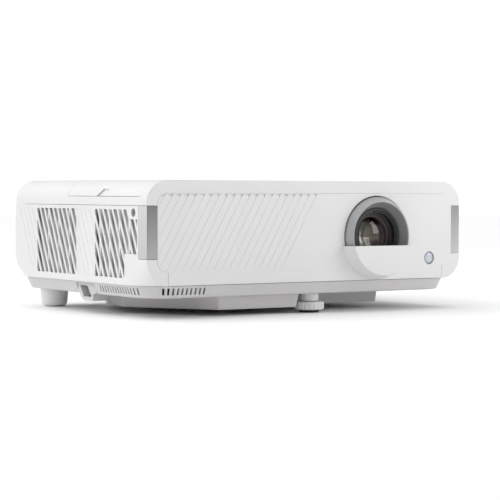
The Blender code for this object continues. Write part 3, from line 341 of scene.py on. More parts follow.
def metal_with_painted_light_and_shade(name, base, roughness, node, top, foot, **fixed):
    """Satin metal whose tone runs down the piece, between two shares of the base colour: painted light and
    shade, not a colour of the metal.
    """
    made = Finish(name, base, roughness, **fixed)
    low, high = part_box(node)
    here = made.node("ShaderNodeSeparateXYZ", {}, {0: made.place()}, "Z")
    share = made.node("ShaderNodeMapRange", {}, {"Value": here, "From Min": low.z, "From Max": high.z})
    grain = made.noise(1.0, 4.0, (1500, 1500, 25))
    # painted shade: the base colour runs from the foot's share up to the top's share
    tone = made.mix(share, shade(base, foot), shade(base, top))
    made.set("Base Color", made.mix(grain * 0.25, tone, shade(base, (top + foot) / 2)))
    made.set("Roughness", grain * 0.16 + (roughness - 0.08))
    made.relief(grain, 0.01 * MM, 0.3)
    return made.material


def cast_metal(name, base):
    """Sand-cast alloy: coarse skin with darker hollows."""
    made = Finish(name, base, 0.5, Metallic=0.85)
    skin = made.noise(700, 5.0)
    made.set("Base Color", made.mix(made.spread(skin, 0.3, 0.7), shade(base, 0.8), shade(base, 1.1)))
    made.relief(skin, 0.08 * MM, 0.6)
    return made.material


def circuit(name, base):
    """Solder resist over copper tracks: a square lattice of lighter lines and plated dots."""
    made = Finish(name, base, 0.35, Coat_Weight=0.4)
    tracks = made.node("ShaderNodeTexBrick", {"offset": 0.37},
                       {"Vector": made.place(), "Scale": 90.0, "Mortar Size": 0.012, "Brick Width": 0.9},
                       "Fac")
    dots = made.node("ShaderNodeTexVoronoi", {}, {"Vector": made.place(), "Scale": 140.0}, "Distance")
    plated = 1 - (dots > 0.16)
    lit = made.mix(tracks, (*base, 1), shade(base, 1.8))
    made.set("Base Color", made.mix(plated * 0.8, lit, (0.62, 0.55, 0.36, 1)))
    made.relief(tracks, 0.03 * MM, 0.4)
    return made.material


def glass(name, base, tint, **fixed):
    """Optical glass under a thin coat that tints what it reflects, with a trace of dust."""
    made = Finish(name, base, 0.02, IOR=1.5, Specular_IOR_Level=0.3, Specular_Tint=(*tint, 1), **fixed)
    dust = made.spread(made.noise(900, 4.0), 0.62, 0.8)
    made.set("Roughness", dust * 0.12 + 0.015)
    return made.material


def receiver_filter(name, base):
    """Translucent moulded filter, lighter in the middle and darker towards its rim."""
    made = Finish(name, base, 0.18, Coat_Weight=0.6, Coat_Roughness=0.05)
    window_low, window_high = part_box("ir_window")
    centre = (window_low + window_high) / 2
    middle = made.place(shift=-centre)
    distance = made.node("ShaderNodeVectorMath", {"operation": "LENGTH"}, {0: middle}, "Value")
    # share towards the rim: the base colour is lighter in the middle and darker at the edge
    rings = made.spread(distance, 3.4 * MM, 4.9 * MM)
    made.set("Base Color", made.mix(rings, shade(base, 1.12), shade(base, 0.62)))
    made.relief(made.noise(1500), 0.01 * MM, 0.2)
    return made.material


def mesh_screen(name, base):
    """Fine woven screen: darker holes on a square lattice."""
    made = Finish(name, base, 0.7)
    weave = made.node("ShaderNodeTexBrick", {"offset": 0.0},
                      {"Vector": made.place(turn=(0, math.pi / 2, 0)), "Scale": 1.0, "Brick Width": 1.1 * MM,
                       "Row Height": 1.1 * MM, "Mortar Size": 0.3 * MM}, "Fac")
    made.set("Base Color", made.mix(weave, shade(base, 0.72), shade(base, 1.15)))
    made.relief(weave, 0.2 * MM, 0.6)
    return made.material


def rubber(name, base):
    """Soft rubber: dull, with a fine cloth-like grain."""
    made = Finish(name, base, 0.85)
    grain = made.noise(2600, 4.0)
    made.set("Base Color", made.mix(grain, shade(base, 0.7), shade(base, 1.4)))
    made.relief(grain, 0.06 * MM, 0.5)
    return made.material


FINISHES = {}


def make_finishes(colours):
    """Every finish of the object, by name."""
    FINISHES.update({
        "white_shell": moulded("white_shell_plastic", colours.shell, 0.46),
        "white_foot": moulded("white_foot_plastic", colours.shell, 0.42),
        "grey_case": moulded("grey_case_plastic", colours.case, 0.5),
        # Corner strips: painted shade and reflection, darker at the top and lighter at the foot
        "satin_trim": metal_with_painted_light_and_shade("satin_trim_metal", colours.trim, 0.42, "left_corner_trim", 0.62, 1.3,
                             Metallic=0.75),
        # Sides of the corner strips: a much lighter copy of the same metal, painted light from the side
        "trim_side_painted_light": metal_with_painted_light_and_shade("satin_trim_side", colours.trim, 0.42, "left_corner_trim", 2.15, 1.75,
                             Metallic=0.6),
        # Darker grey for the focus ring's inner funnel: painted shade in the recess
        "funnel_painted_shade": moulded("ring_funnel_plastic", (0.2, 0.2, 0.203), 0.45, 0.01 * MM),
        "dark_steel": brushed("dark_steel", (0.3, 0.3, 0.305), 0.4, (300, 300, 300), Metallic=0.9),
        "ir_filter": receiver_filter("receiver_filter", (0.50, 0.53, 0.60)),
        "pale_ring": moulded("pale_ring_plastic", colours.ring, 0.38, 0.01 * MM),
        "black_plastic": moulded("black_plastic", (0.012, 0.012, 0.013), 0.42),
        "matt_black": moulded("matt_black_baffle", (0.008, 0.008, 0.009), 0.7),
        "bronze_ring": moulded("bronze_ring", (0.11, 0.06, 0.045), 0.35, 0.01 * MM),
        "lens_glass": glass("clear_glass", (0.8, 0.82, 0.84), (1, 1, 1), Transmission_Weight=0.9),
        "coated_glass": glass("coated_glass", (0.88, 0.86, 0.84), (0.95, 0.8, 0.78),
                              Transmission_Weight=1.0),
        "green_element": glass("green_element", (0.02, 0.024, 0.012), (0.75, 0.95, 0.5)),
        "violet_element": glass("violet_element", (0.034, 0.018, 0.02), (0.95, 0.62, 0.66)),
        "light_guide": glass("light_guide", (0.75, 0.78, 0.8), (1, 1, 1), Transmission_Weight=0.4),
        "screen": mesh_screen("vent_screen", (0.36, 0.36, 0.36)),
        "rubber": rubber("dark_rubber", (0.03, 0.03, 0.031)),
        "key_grey": moulded("key_plastic", colours.keys, 0.5),
        "key_mark": moulded("key_mark_ink", (0.8, 0.8, 0.8), 0.5),
        "circuit_board": circuit("circuit_board", (0.02, 0.16, 0.07)),
        "plated_steel": brushed("plated_steel", (0.62, 0.62, 0.64), 0.3, (300, 300, 300), Metallic=1.0),
        "gold_contact": brushed("gold_contact", (0.75, 0.58, 0.25), 0.25, (400, 400, 400), Metallic=1.0),
        "cast_alloy": cast_metal("cast_alloy", (0.42, 0.42, 0.43)),
    })


# =============================================================================================
# Modelling
# =============================================================================================
def begin():
    """Object mode, with nothing selected."""
    if bpy.context.object and bpy.context.object.mode != "OBJECT":
        bpy.ops.object.mode_set(mode="OBJECT")
    bpy.ops.object.select_all(action="DESELECT")


def choose(*objects):
    """Select objects; the first one is the active one."""
    begin()
    for obj in objects:
        obj.select_set(True)
    bpy.context.view_layer.objects.active = objects[0]


def settled(name):
    """Name the active object, with its place moved into its mesh."""
    begin()
    obj = bpy.context.object
    obj.name = obj.data.name = name
    choose(obj)
    bpy.ops.object.transform_apply(location=True, rotation=True, scale=True)
    return obj


def block(name, low, high):
    """A box between two corners."""
    begin()
    low, high = Vector(low), Vector(high)
    bpy.ops.mesh.primitive_cube_add(size=1, location=(low + high) / 2, scale=high - low)
    return settled(name)


def rod(name, axis, centre, radius, start, end, steps=32):
    """A cylinder along an axis, between two places on it."""
    begin()
    turn = {"X": (0, math.pi / 2, 0), "Y": (math.pi / 2, 0, 0), "Z": (0, 0, 0)}[axis]
    middle = Vector(centre)
    middle["XYZ".index(axis)] = (start + end) / 2
    bpy.ops.mesh.primitive_cylinder_add(vertices=steps, radius=radius, depth=abs(end - start),
                                        location=middle, rotation=turn)
    return settled(name)


def trace(points):
    """A chain of edges through some points, drawn in edit mode and left there."""
    begin()
    points = [Vector(point) for point in points]
    bpy.ops.mesh.primitive_plane_add(size=MM, location=points[0])
    bpy.ops.object.mode_set(mode="EDIT")
    bpy.ops.mesh.select_mode(type="VERT")
    bpy.ops.mesh.merge(type="CENTER")
    for here, there in zip(points, points[1:]):
        bpy.ops.mesh.extrude_region_move(TRANSFORM_OT_translate={"value": there - here})
    bpy.ops.mesh.select_all(action="SELECT")


def slab(name, outline, *moves):
    """A flat outline filled in and pushed along one or more moves."""
    trace(outline)
    bpy.ops.mesh.edge_face_add()
    for move in moves:
        bpy.ops.mesh.extrude_region_move(TRANSFORM_OT_translate={"value": Vector(move)})
    bpy.ops.mesh.select_all(action="SELECT")
    bpy.ops.mesh.normals_make_consistent(inside=False)
    return settled(name)


def turned(name, profile, axis, centre, steps):
    """A profile of (radius, place along the axis) points spun round the axis."""
    centre = Vector(centre)
    arm = {"X": Vector((0, 1, 0)), "Y": Vector((1, 0, 0)), "Z": Vector((1, 0, 0))}[axis]
    line = Vector([float(letter == axis) for letter in "XYZ"])
    points = [centre + radius * arm + along * line for radius, along in profile]
    if profile[0][0] > 0:
        points.append(points[0])
    trace(points)
    bpy.ops.mesh.spin(steps=steps, angle=math.tau, center=centre, axis=line)
    bpy.ops.mesh.select_all(action="SELECT")
    bpy.ops.mesh.remove_doubles(threshold=TINY / 4)
    bpy.ops.mesh.normals_make_consistent(inside=False)
    return settled(name)


def arc(centre, radius, start, end, steps):
    """Points on an arc between two angles in degrees."""
    angles = [math.radians(start + (end - start) * i / steps) for i in range(steps + 1)]
    return [(centre[0] + radius * math.cos(a), centre[1] + radius * math.sin(a)) for a in angles]


def middle(item):
    """Centre of an edge or a face."""
    return sum((vert.co for vert in item.verts), Vector()) / len(item.verts)


def along(edge, axis):
    """Whether an edge runs along an axis."""
    way = (edge.verts[1].co - edge.verts[0].co).normalized()
    return abs(way["XYZ".index(axis)]) > 0.999


def pick(obj, kind, test):
    """Edit mode, with the points, edges or faces that pass a test selected."""
    choose(obj)
    bpy.ops.object.mode_set(mode="EDIT")
    bpy.ops.mesh.select_mode(type=kind)
    bpy.ops.mesh.select_all(action="DESELECT")
    mesh = bmesh.from_edit_mesh(obj.data)
    mesh.normal_update()
    for item in {"VERT": mesh.verts, "EDGE": mesh.edges, "FACE": mesh.faces}[kind]:
        if test(item):
            item.select_set(True)
    bmesh.update_edit_mesh(obj.data)


def round_edges(obj, test, width, segments):
    """Round the edges that pass a test."""
    pick(obj, "EDGE", test)
    bpy.ops.mesh.bevel(offset=width, segments=segments, affect="EDGES")
    begin()


def combine(obj, other, operation="DIFFERENCE"):
    """Cut, join or intersect two solids; the second one is used up."""
    choose(obj)
    boolean = obj.modifiers.new(operation.title(), "BOOLEAN")
    boolean.operation = operation
    boolean.object = other
    bpy.ops.object.modifier_apply(modifier=boolean.name)
    bpy.data.objects.remove(other)
    return obj


def tidy(obj):
    """Merge points that coincide and dissolve edges inside flat faces."""
    choose(obj)
    bpy.ops.object.mode_set(mode="EDIT")
    bpy.ops.mesh.select_mode(type="VERT")
    bpy.ops.mesh.select_all(action="SELECT")
    bpy.ops.mesh.remove_doubles(threshold=TINY / 4)
    bpy.ops.mesh.dissolve_limited(angle_limit=math.radians(0.4))
    begin()


def soften(obj, width, segments=2, angle=32):
    """Round every edge that is sharper than an angle, and shade the rest smooth."""
    tidy(obj)
    choose(obj)
    bevel = obj.modifiers.new("Soft edges", "BEVEL")
    bevel.width = width
    bevel.segments = segments
    bevel.limit_method = "ANGLE"
    bevel.angle_limit = math.radians(angle)
    bpy.ops.object.modifier_apply(modifier=bevel.name)
    weigh(obj, angle)


def weigh(obj, angle=32):
    """Shade smooth over all but sharp edges, with the large faces kept flat."""
    smooth(obj, angle)
    weighted = obj.modifiers.new("Flat faces lead", "WEIGHTED_NORMAL")
    weighted.keep_sharp = True
    bpy.ops.object.modifier_apply(modifier=weighted.name)


def smooth(obj, angle=32):
    """Shade smooth over all but sharp edges."""
    choose(obj)
    bpy.ops.object.shade_smooth_by_angle(angle=math.radians(angle))


def joined(name, pieces):
    """Several solids made one piece."""
    choose(*pieces)
    bpy.ops.object.join()
    return settled(name)


def copied(obj, move):
    """A copy with its own mesh, moved."""
    choose(obj)
    bpy.ops.object.duplicate()
    bpy.ops.transform.translate(value=move)
    return settled(obj.name + "_copy")


def from_node(node):
    """A copy of a frame node's mesh, merged so that it can be worked on."""
    choose(frame["nodes"][node])
    bpy.ops.object.duplicate()
    bpy.ops.object.parent_clear(type="CLEAR_KEEP_TRANSFORM")
    obj = settled(node + "_copy")
    tidy(obj)
    return obj


def done(obj, name, slot, nodes=(), body="case", finish=None):
    """Name a finished piece, give it its finish, hang it on its body and hide the frame nodes it stands for.
    """
    begin()
    obj.name = obj.data.name = name
    obj.data.materials.clear()
    obj.data.materials.append(FINISHES[finish or slot])
    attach(obj, body)
    if nodes:
        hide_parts(*nodes)
    return obj


def inlay(obj, finish, test):
    """Give the faces that pass a test a second finish."""
    obj.data.materials.append(FINISHES[finish])
    index = len(obj.data.materials) - 1
    for face in obj.data.polygons:
        if test(face):
            face.material_index = index


# =============================================================================================
# Casing
# =============================================================================================
def shell_block(name, low, inset, front, rear, rim=0.0):
    """The casing above a level, with its round shoulders."""
    high = TOP - inset
    obj = block(name, (-HALF + inset, front, low), (HALF - inset, rear, high))
    round_edges(obj, lambda e: along(e, "Y") and middle(e).z > high - TINY, CORNER_R - inset, 20)
    if rim:
        ends = (front, rear)
        round_edges(obj, lambda e: not along(e, "Y") and middle(e).z > low + TINY
                    and any(abs(middle(e).y - y) < TINY for y in ends), rim, 3)
    return obj


def rounded_block(name, low, high, axis, radius, segments=10, test=None):
    """A box with the edges along one axis rounded."""
    obj = block(name, low, high)
    round_edges(obj, lambda e: along(e, axis) and (test is None or test(middle(e))), radius, segments)
    return obj


def face_opening(name):
    """Opening for the inner panels, through both faces of the casing."""
    half = PANEL_HIGH.x + SEAM
    return rounded_block(name, (-half, FRONT - WALL, PANEL_FOOT - SEAM),
                         (half, REAR + WALL, PANEL_HIGH.z + SEAM), "Y", PANEL_R + SEAM)


def lamp_cover_region(name, grow):
    """Plan of the lamp cover with its clipped front corner, as a deep solid."""
    low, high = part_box("lamp_cover")
    outside = -HALF - 4 * MM
    front, rear, right = low.y - grow, high.y + grow, high.x + grow
    plan = [(right, front), (LAMP_COVER_CLIP.x, front), (outside, front + LAMP_COVER_CLIP.y),
            (outside, rear), (right, rear)]
    base = LAMP_COVER_FOOT - grow
    return slab(name, [(x, y, base) for x, y in plan], (0, 0, TOP - base + WALL))


class PROJECTOR_OT_top(bpy.types.Operator):
    """Build the upper shell and the lamp cover"""
    bl_idname = "projector.top"
    bl_label = "Top"

    def execute(self, context):
        sizes = context.scene.projector_casing
        shell = shell_block("shell", SHELL_LOW.z, 0, FRONT, REAR, sizes.rim)
        combine(shell, shell_block("hollow", SHELL_LOW.z - WALL, WALL, FRONT + FACE, REAR - FACE))
        combine(shell, face_opening("opening"))
        combine(shell, lamp_cover_region("lamp_opening", GAP))
        low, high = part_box("keypad_plate")
        reach = Vector((GAP, GAP, 4 * MM))
        combine(shell, rounded_block("keypad_opening", low - reach, high + reach, "Z", 8 * MM))
        soften(shell, sizes.edge)
        done(shell, "upper_shell_skin", "white_shell", ["upper_shell"])
        self.lamp_cover(sizes)
        return {"FINISHED"}

    def lamp_cover(self, sizes):
        """Lift-off cover with a finger scoop and the forked lug of its screw."""
        cover = shell_block("cover", SHELL_LOW.z, 0, FRONT, REAR)
        combine(cover, shell_block("hollow", SHELL_LOW.z - WALL, WALL, FRONT + FACE, REAR - FACE))
        combine(cover, lamp_cover_region("region", 0), "INTERSECT")
        shoulder = (-HALF + CORNER_R, TOP - CORNER_R)
        band = arc(shoulder, CORNER_R + WALL, 166, 141, 8) + arc(shoulder, CORNER_R - 1.7 * MM, 141, 166, 8)
        scoop = slab("scoop", [(x, -41 * MM, z) for x, z in band], (0, 18 * MM, 0))
        pick(scoop, "FACE", lambda face: True)
        bpy.ops.mesh.bisect(plane_co=(0, -25 * MM, 95 * MM), plane_no=(0, 1, 1.5), use_fill=True,
                            clear_outer=True)
        begin()
        combine(cover, scoop)
        screw, slot = COVER_SCREW, 1.8 * MM
        foot, head, half = 79.6 * MM, 98.5 * MM, 5 * MM
        fork = [(screw.y - half, foot), (screw.y - slot, foot)] + arc((screw.y, screw.z), slot, 180, 0, 10)
        fork += [(screw.y + slot, foot), (screw.y + half, foot), (screw.y + half, head),
                 (screw.y - half, head)]
        combine(cover, slab("lug", [(-152.1 * MM, y, z) for y, z in fork], (1.6 * MM, 0, 0)), "UNION")
        soften(cover, sizes.edge)
        done(cover, "lamp_cover_skin", "white_shell", ["lamp_cover"], "lamp_cover")


def drawn_in(y):
    """Share of the lower corner's round that is present at a depth: 1 at both faces, 0 between."""
    for face, radius in PLAN_R.items():
        reach = math.sqrt(radius ** 2 - (radius - CORNER_R) ** 2)
        past = PLATE + reach - abs(y - face)
        if past > 0:
            return min((radius - math.sqrt(max(radius ** 2 - past ** 2, 0.0))) / CORNER_R, 1.0)
    return 0.0


def half_wall(name, face, offset, inset, inner, low, steps=14):
    """Left wall from one face to mid-depth, its lower corner drawn in towards the face."""
    inward = 1 if face == FRONT else -1
    radius, plan = CORNER_R - inset, PLAN_R[face]
    outer, high = -HALF + inset, SIDE_HIGH.z + inset
    centre = (-HALF + CORNER_R, SIDE_LOW.z + CORNER_R)
    start = face + inward * offset
    corner = arc(centre, radius, 270, 180, 16)
    if inset:
        corner.insert(0, (corner[0][0], low))
    share = drawn_in(start)
    section = [(inner, low)] + [(outer + (x - outer) * share, z) for x, z in corner]
    section += [(outer, high), (inner, high)]
    widest = math.acos((plan - CORNER_R) / plan)
    reach = plan * math.sin(widest)
    depths = [PLATE + reach - plan * math.sin(widest * (1 - i / steps)) for i in range(steps + 1)]
    stations = [face + inward * depth for depth in depths if depth > offset + TINY]
    trace([(x, start, z) for x, z in section])
    bpy.ops.mesh.edge_face_add()
    here = start
    for y in stations:
        bpy.ops.mesh.extrude_region_move(TRANSFORM_OT_translate={"value": (0, y - here, 0)})
        there = drawn_in(y)
        mesh = bmesh.from_edit_mesh(bpy.context.object.data)
        base = bpy.context.object.location
        bpy.ops.mesh.select_mode(type="VERT")
        for vert in mesh.verts:
            place = vert.co + base
            kept = abs(place.y - y) < TINY and place.x < inner - TINY and place.z < centre[1] - TINY
            vert.select_set(kept)
        bpy.ops.transform.resize(value=(there / share if share else 0, 1, 1), center_override=(outer, y, 0))
        mesh = bmesh.from_edit_mesh(bpy.context.object.data)
        for vert in mesh.verts:
            vert.select_set(abs(vert.co.y + base.y - y) < TINY)
        bpy.context.tool_settings.mesh_select_mode = (True, False, True)
        mesh.select_mode = {"VERT", "FACE"}
        mesh.select_flush_mode()
        here, share = y, there
    bpy.ops.mesh.extrude_region_move(TRANSFORM_OT_translate={"value": (0, MIDDLE - here, 0)})
    bpy.ops.mesh.select_all(action="SELECT")
    bpy.ops.mesh.normals_make_consistent(inside=False)
    return settled(name)


def wall_form(name, offset, inset, inner, low):
    """Both halves of the left wall, grown together at mid-depth."""
    halves = [half_wall(name, face, offset, inset, inner, low) for face in (FRONT, REAR)]
    obj = joined(name, halves)
    pick(obj, "FACE", lambda face: abs(middle(face).y - MIDDLE) < TINY)
    bpy.ops.mesh.delete(type="FACE")
    bpy.ops.mesh.select_all(action="SELECT")
    bpy.ops.mesh.remove_doubles(threshold=TINY / 4)
    bpy.ops.mesh.normals_make_consistent(inside=False)
    begin()
    return obj


def slot_comb(name, sizes, outside, reach):
    """Slanted bars along the whole left wall, one modelled and the rest copied."""
    first, count = 75.7 * MM + 4 * sizes.slot_pitch, 28
    half, shift = sizes.slot_width / 2, SLOT_SLANT * (VENT_HIGH - VENT_LOW)
    bar = [(first - half, VENT_HIGH + MM), (first + half, VENT_HIGH + MM),
           (first + half - shift, VENT_LOW - MM), (first - half - shift, VENT_LOW - MM)]
    obj = slab(name, [(outside, y, z) for y, z in bar], (reach, 0, 0))
    pick(obj, "FACE", lambda face: True)
    for _ in range(count - 1):
        bpy.ops.mesh.duplicate_move(TRANSFORM_OT_translate={"value": (0, -sizes.slot_pitch, 0)})
    begin()
    return obj


def vent_cutter(name, sizes, areas, outside, reach):
    """The part of the slanted bars that lies inside some areas of the wall."""
    regions = [slab(name, [(outside - MM, y * MM, z * MM) for y, z in area], (reach + 2 * MM, 0, 0))
               for area in areas]
    region = joined(name, regions) if len(regions) > 1 else regions[0]
    return combine(slot_comb(name + "_bars", sizes, outside, reach), region, "INTERSECT")


class PROJECTOR_OT_sides(bpy.types.Operator):
    """Build both side panels with their vents"""
    bl_idname = "projector.sides"
    bl_label = "Side panels"

    def execute(self, context):
        sizes = context.scene.projector_casing
        wall = wall_form("wall", 0, 0, SIDE_HIGH.x, SIDE_LOW.z)
        combine(wall, wall_form("hollow", FACE, WALL, -130 * MM, 16 * MM))
        combine(wall, face_opening("opening"))
        trim_low, trim_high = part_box("left_corner_trim")
        combine(wall, block("trim_recess", (-HALF - MM, FRONT - MM, trim_low.z - GAP),
                            (trim_high.x + GAP, trim_high.y + GAP, TOP)))
        outside, reach = -HALF - 5 * MM, 9 * MM
        for low, high in THIN_FIELDS:
            combine(wall, block("thinned", (-HALF + THIN_WALL, low[0] * MM, low[1] * MM),
                                (-HALF + 6 * MM, high[0] * MM, high[1] * MM)))
        soften(wall, sizes.edge)
        combine(wall, vent_cutter("vents", sizes, [REAR_VENT, FRONT_VENT], outside, reach))
        combine(wall, vent_cutter("closed", sizes, CLOSED_SLOTS, outside, 5 * MM + CLOSED_DEPTH))
        choose(wall)
        bpy.ops.object.duplicate()
        right = settled("right_wall")
        pick(right, "FACE", lambda face: True)
        bpy.ops.transform.mirror(orient_type="GLOBAL", constraint_axis=(True, False, False),
                                 center_override=(0, 0, 0))
        bpy.ops.mesh.normals_make_consistent(inside=False)
        begin()
        self.guard()
        screw = COVER_SCREW
        combine(wall, rod("screw_hole", "X", screw, 3.3 * MM, -HALF - 5 * MM, -HALF + 5 * MM, 32))
        for obj, side in ((wall, "left"), (right, "right")):
            weigh(obj)
            done(obj, side + "_side_panel_skin", "white_shell", [side + "_side_panel"])
        return {"FINISHED"}

    def guard(self):
        """Upright bars close behind the vents of both sides, and a fine screen behind the bars."""
        for side, sign in (("left", -1), ("right", 1)):
            near, far = sorted((sign * (HALF - GUARD_BACK), sign * (HALF - GUARD_BACK - GUARD_WALL)))
            plate, step = [block("plate", (near, low[0] * MM, low[1] * MM),
                                 (far, high[0] * MM, high[1] * MM)) for low, high in GUARD_FIELDS]
            combine(plate, step, "UNION")
            for start, end in GUARD_WINDOWS:
                foot, head = STEP_WINDOW_Z if (start, end) == GUARD_WINDOWS[0] else WINDOW_Z
                combine(plate, block("window", (-1, start * MM, foot * MM), (1, end * MM, head * MM)))
            combine(plate, block("gap", *[(x, y * MM, z * MM) for x, (y, z) in zip((-1, 1), GUARD_GAP)]))
            soften(plate, 0.2 * MM)
            done(plate, side + "_inner_grille_skin", "white_shell", [side + "_inner_grille"])
            back = sign * (HALF - SCREEN_BACK)
            screen = joined("screens", [slab("screen", [(back, y * MM, z * MM) for y, z in outline],
                                             (sign * SCREEN_WALL, 0, 0)) for outline in SCREENS])
            smooth(screen)
            done(screen, side + "_vent_screen", "white_shell", finish="screen")


class PROJECTOR_OT_trims(bpy.types.Operator):
    """Build the satin strips in the front corners"""
    bl_idname = "projector.trims"
    bl_label = "Corner trims"

    def execute(self, context):
        sizes = context.scene.projector_casing
        for side, sign in (("left", -1), ("right", 1)):
            node = side + "_corner_trim"
            low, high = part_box(node)
            inner = high.x if sign < 0 else low.x
            wall = sign * (HALF - WALL)
            plan = [(sign * HALF, FRONT), (sign * HALF, high.y), (wall, high.y), (wall, FRONT + FACE),
                    (inner, FRONT + FACE), (inner, FRONT)]
            strip = slab("strip", [(x, y, low.z) for x, y in plan], (0, 0, high.z - low.z))
            round_edges(strip, lambda e: along(e, "Z") and abs(middle(e).x) > HALF - TINY
                        and middle(e).y < FRONT + TINY, sizes.rim, 6)
            soften(strip, sizes.edge / 2)
            # The strip's metal carries painted shade and reflection, darker at the top and lighter at the
            # foot
            done(strip, node + "_skin", "satin_trim", [node])
            # Faces that look sideways get the lighter copy of the metal: painted light
            inlay(strip, "trim_side_painted_light", lambda face: abs(face.normal.x) > 0.75)
        return {"FINISHED"}


class PROJECTOR_OT_face(bpy.types.Operator):
    """Build the front panel with its slanted ribs, and the receiver window"""
    bl_idname = "projector.face"
    bl_label = "Front panel"

    def execute(self, context):
        sizes = context.scene.projector_casing
        front = FRONT - sizes.panel_stand
        panel = rounded_block("panel", (-PANEL_HIGH.x, front, PANEL_FOOT),
                              (PANEL_HIGH.x, FRONT + FACE, PANEL_HIGH.z), "Y", PANEL_R, 14)
        strip = block("strip", (-STRIP_HALF, FRONT, PANEL_LOW.z),
                      (STRIP_HALF, FRONT + FACE, PANEL_FOOT + MM))
        combine(panel, strip, "UNION")
        low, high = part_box("ir_window")
        window = (low + high) / 2
        for centre, radius, steps in ((LENS, LENS_HOLE_R, 128), (window, (high.x - low.x) / 2 + GAP, 48)):
            combine(panel, rod("hole", "Y", centre, radius, FRONT - 5 * MM, FRONT + 5 * MM, steps))
        soften(panel, sizes.edge)
        for cutter in self.ribs(sizes, front):
            combine(panel, cutter)
        weigh(panel)
        done(panel, "front_panel_skin", "white_shell", ["front_panel"])
        self.window(low, high, window)
        return {"FINISHED"}

    def ribs(self, sizes, front):
        """Cutters for the fine slanted grooves, and for the triangular pit at the head of each."""
        last, width, drop = LAST_RIB, sizes.rib_width, RIB_FOOT - RIB_TOP
        groove = [(last - width, front), (last - width / 2, front + sizes.rib_depth), (last, front),
                  (last, front - MM), (last - width, front - MM)]
        cutter = slab("ribs", [(x, y, RIB_TOP - 0.6 * MM) for x, y in groove], (RIB_SLANT * drop, 0, drop))
        self.repeat(cutter, sizes)
        start, level = front - 1.4 * MM, RIB_TOP + 0.4 * MM
        heads = slab("heads", [(HEAD_RIGHT - 4.9 * MM, start, level), (HEAD_RIGHT, start, level),
                               (HEAD_RIGHT - 1.7 * MM, start, level - 2.7 * MM)], (0, 2.6 * MM, 0))
        pick(heads, "VERT", lambda v: v.co.y > front and v.co.z < level - MM)
        bpy.ops.transform.translate(value=(0, -1.1 * MM, 0))
        begin()
        self.repeat(heads, sizes)
        edge = 1.3 * MM
        field = rounded_block("field", (-PANEL_HIGH.x + edge, front - 3 * MM, PANEL_FOOT + edge / 2),
                              (HEAD_RIGHT + MM, front + 3 * MM, level + MM), "Y", PANEL_R - edge, 14,
                              lambda place: place.x < 0 and place.z < 60 * MM)
        combine(cutter, copied(field, (0, 0, 0)), "INTERSECT")
        combine(heads, field, "INTERSECT")
        return cutter, heads

    def repeat(self, cutter, sizes):
        """The same hollow again at every rib."""
        pick(cutter, "FACE", lambda face: True)
        for _ in range(RIBS - 1):
            bpy.ops.mesh.duplicate_move(TRANSFORM_OT_translate={"value": (-sizes.rib_pitch, 0, 0)})
        begin()

    def window(self, low, high, centre):
        """Receiver window: a shallow dome in its hole."""
        radius = (high.x - low.x) / 2
        dome = [(0.0, low.y - FRONT - 0.05 * MM)] + [(radius * x, low.y - FRONT + y * MM) for x, y in
                                                    ((0.4, 0.0), (0.72, 0.1), (0.9, 0.3), (1.0, 0.7))]
        dome += [(radius, high.y - FRONT), (0.0, high.y - FRONT)]
        piece = turned("window", dome, "Y", Vector((centre.x, FRONT, centre.z)), 48)
        smooth(piece)
        done(piece, "ir_window_skin", "ir_filter", ["ir_window"])


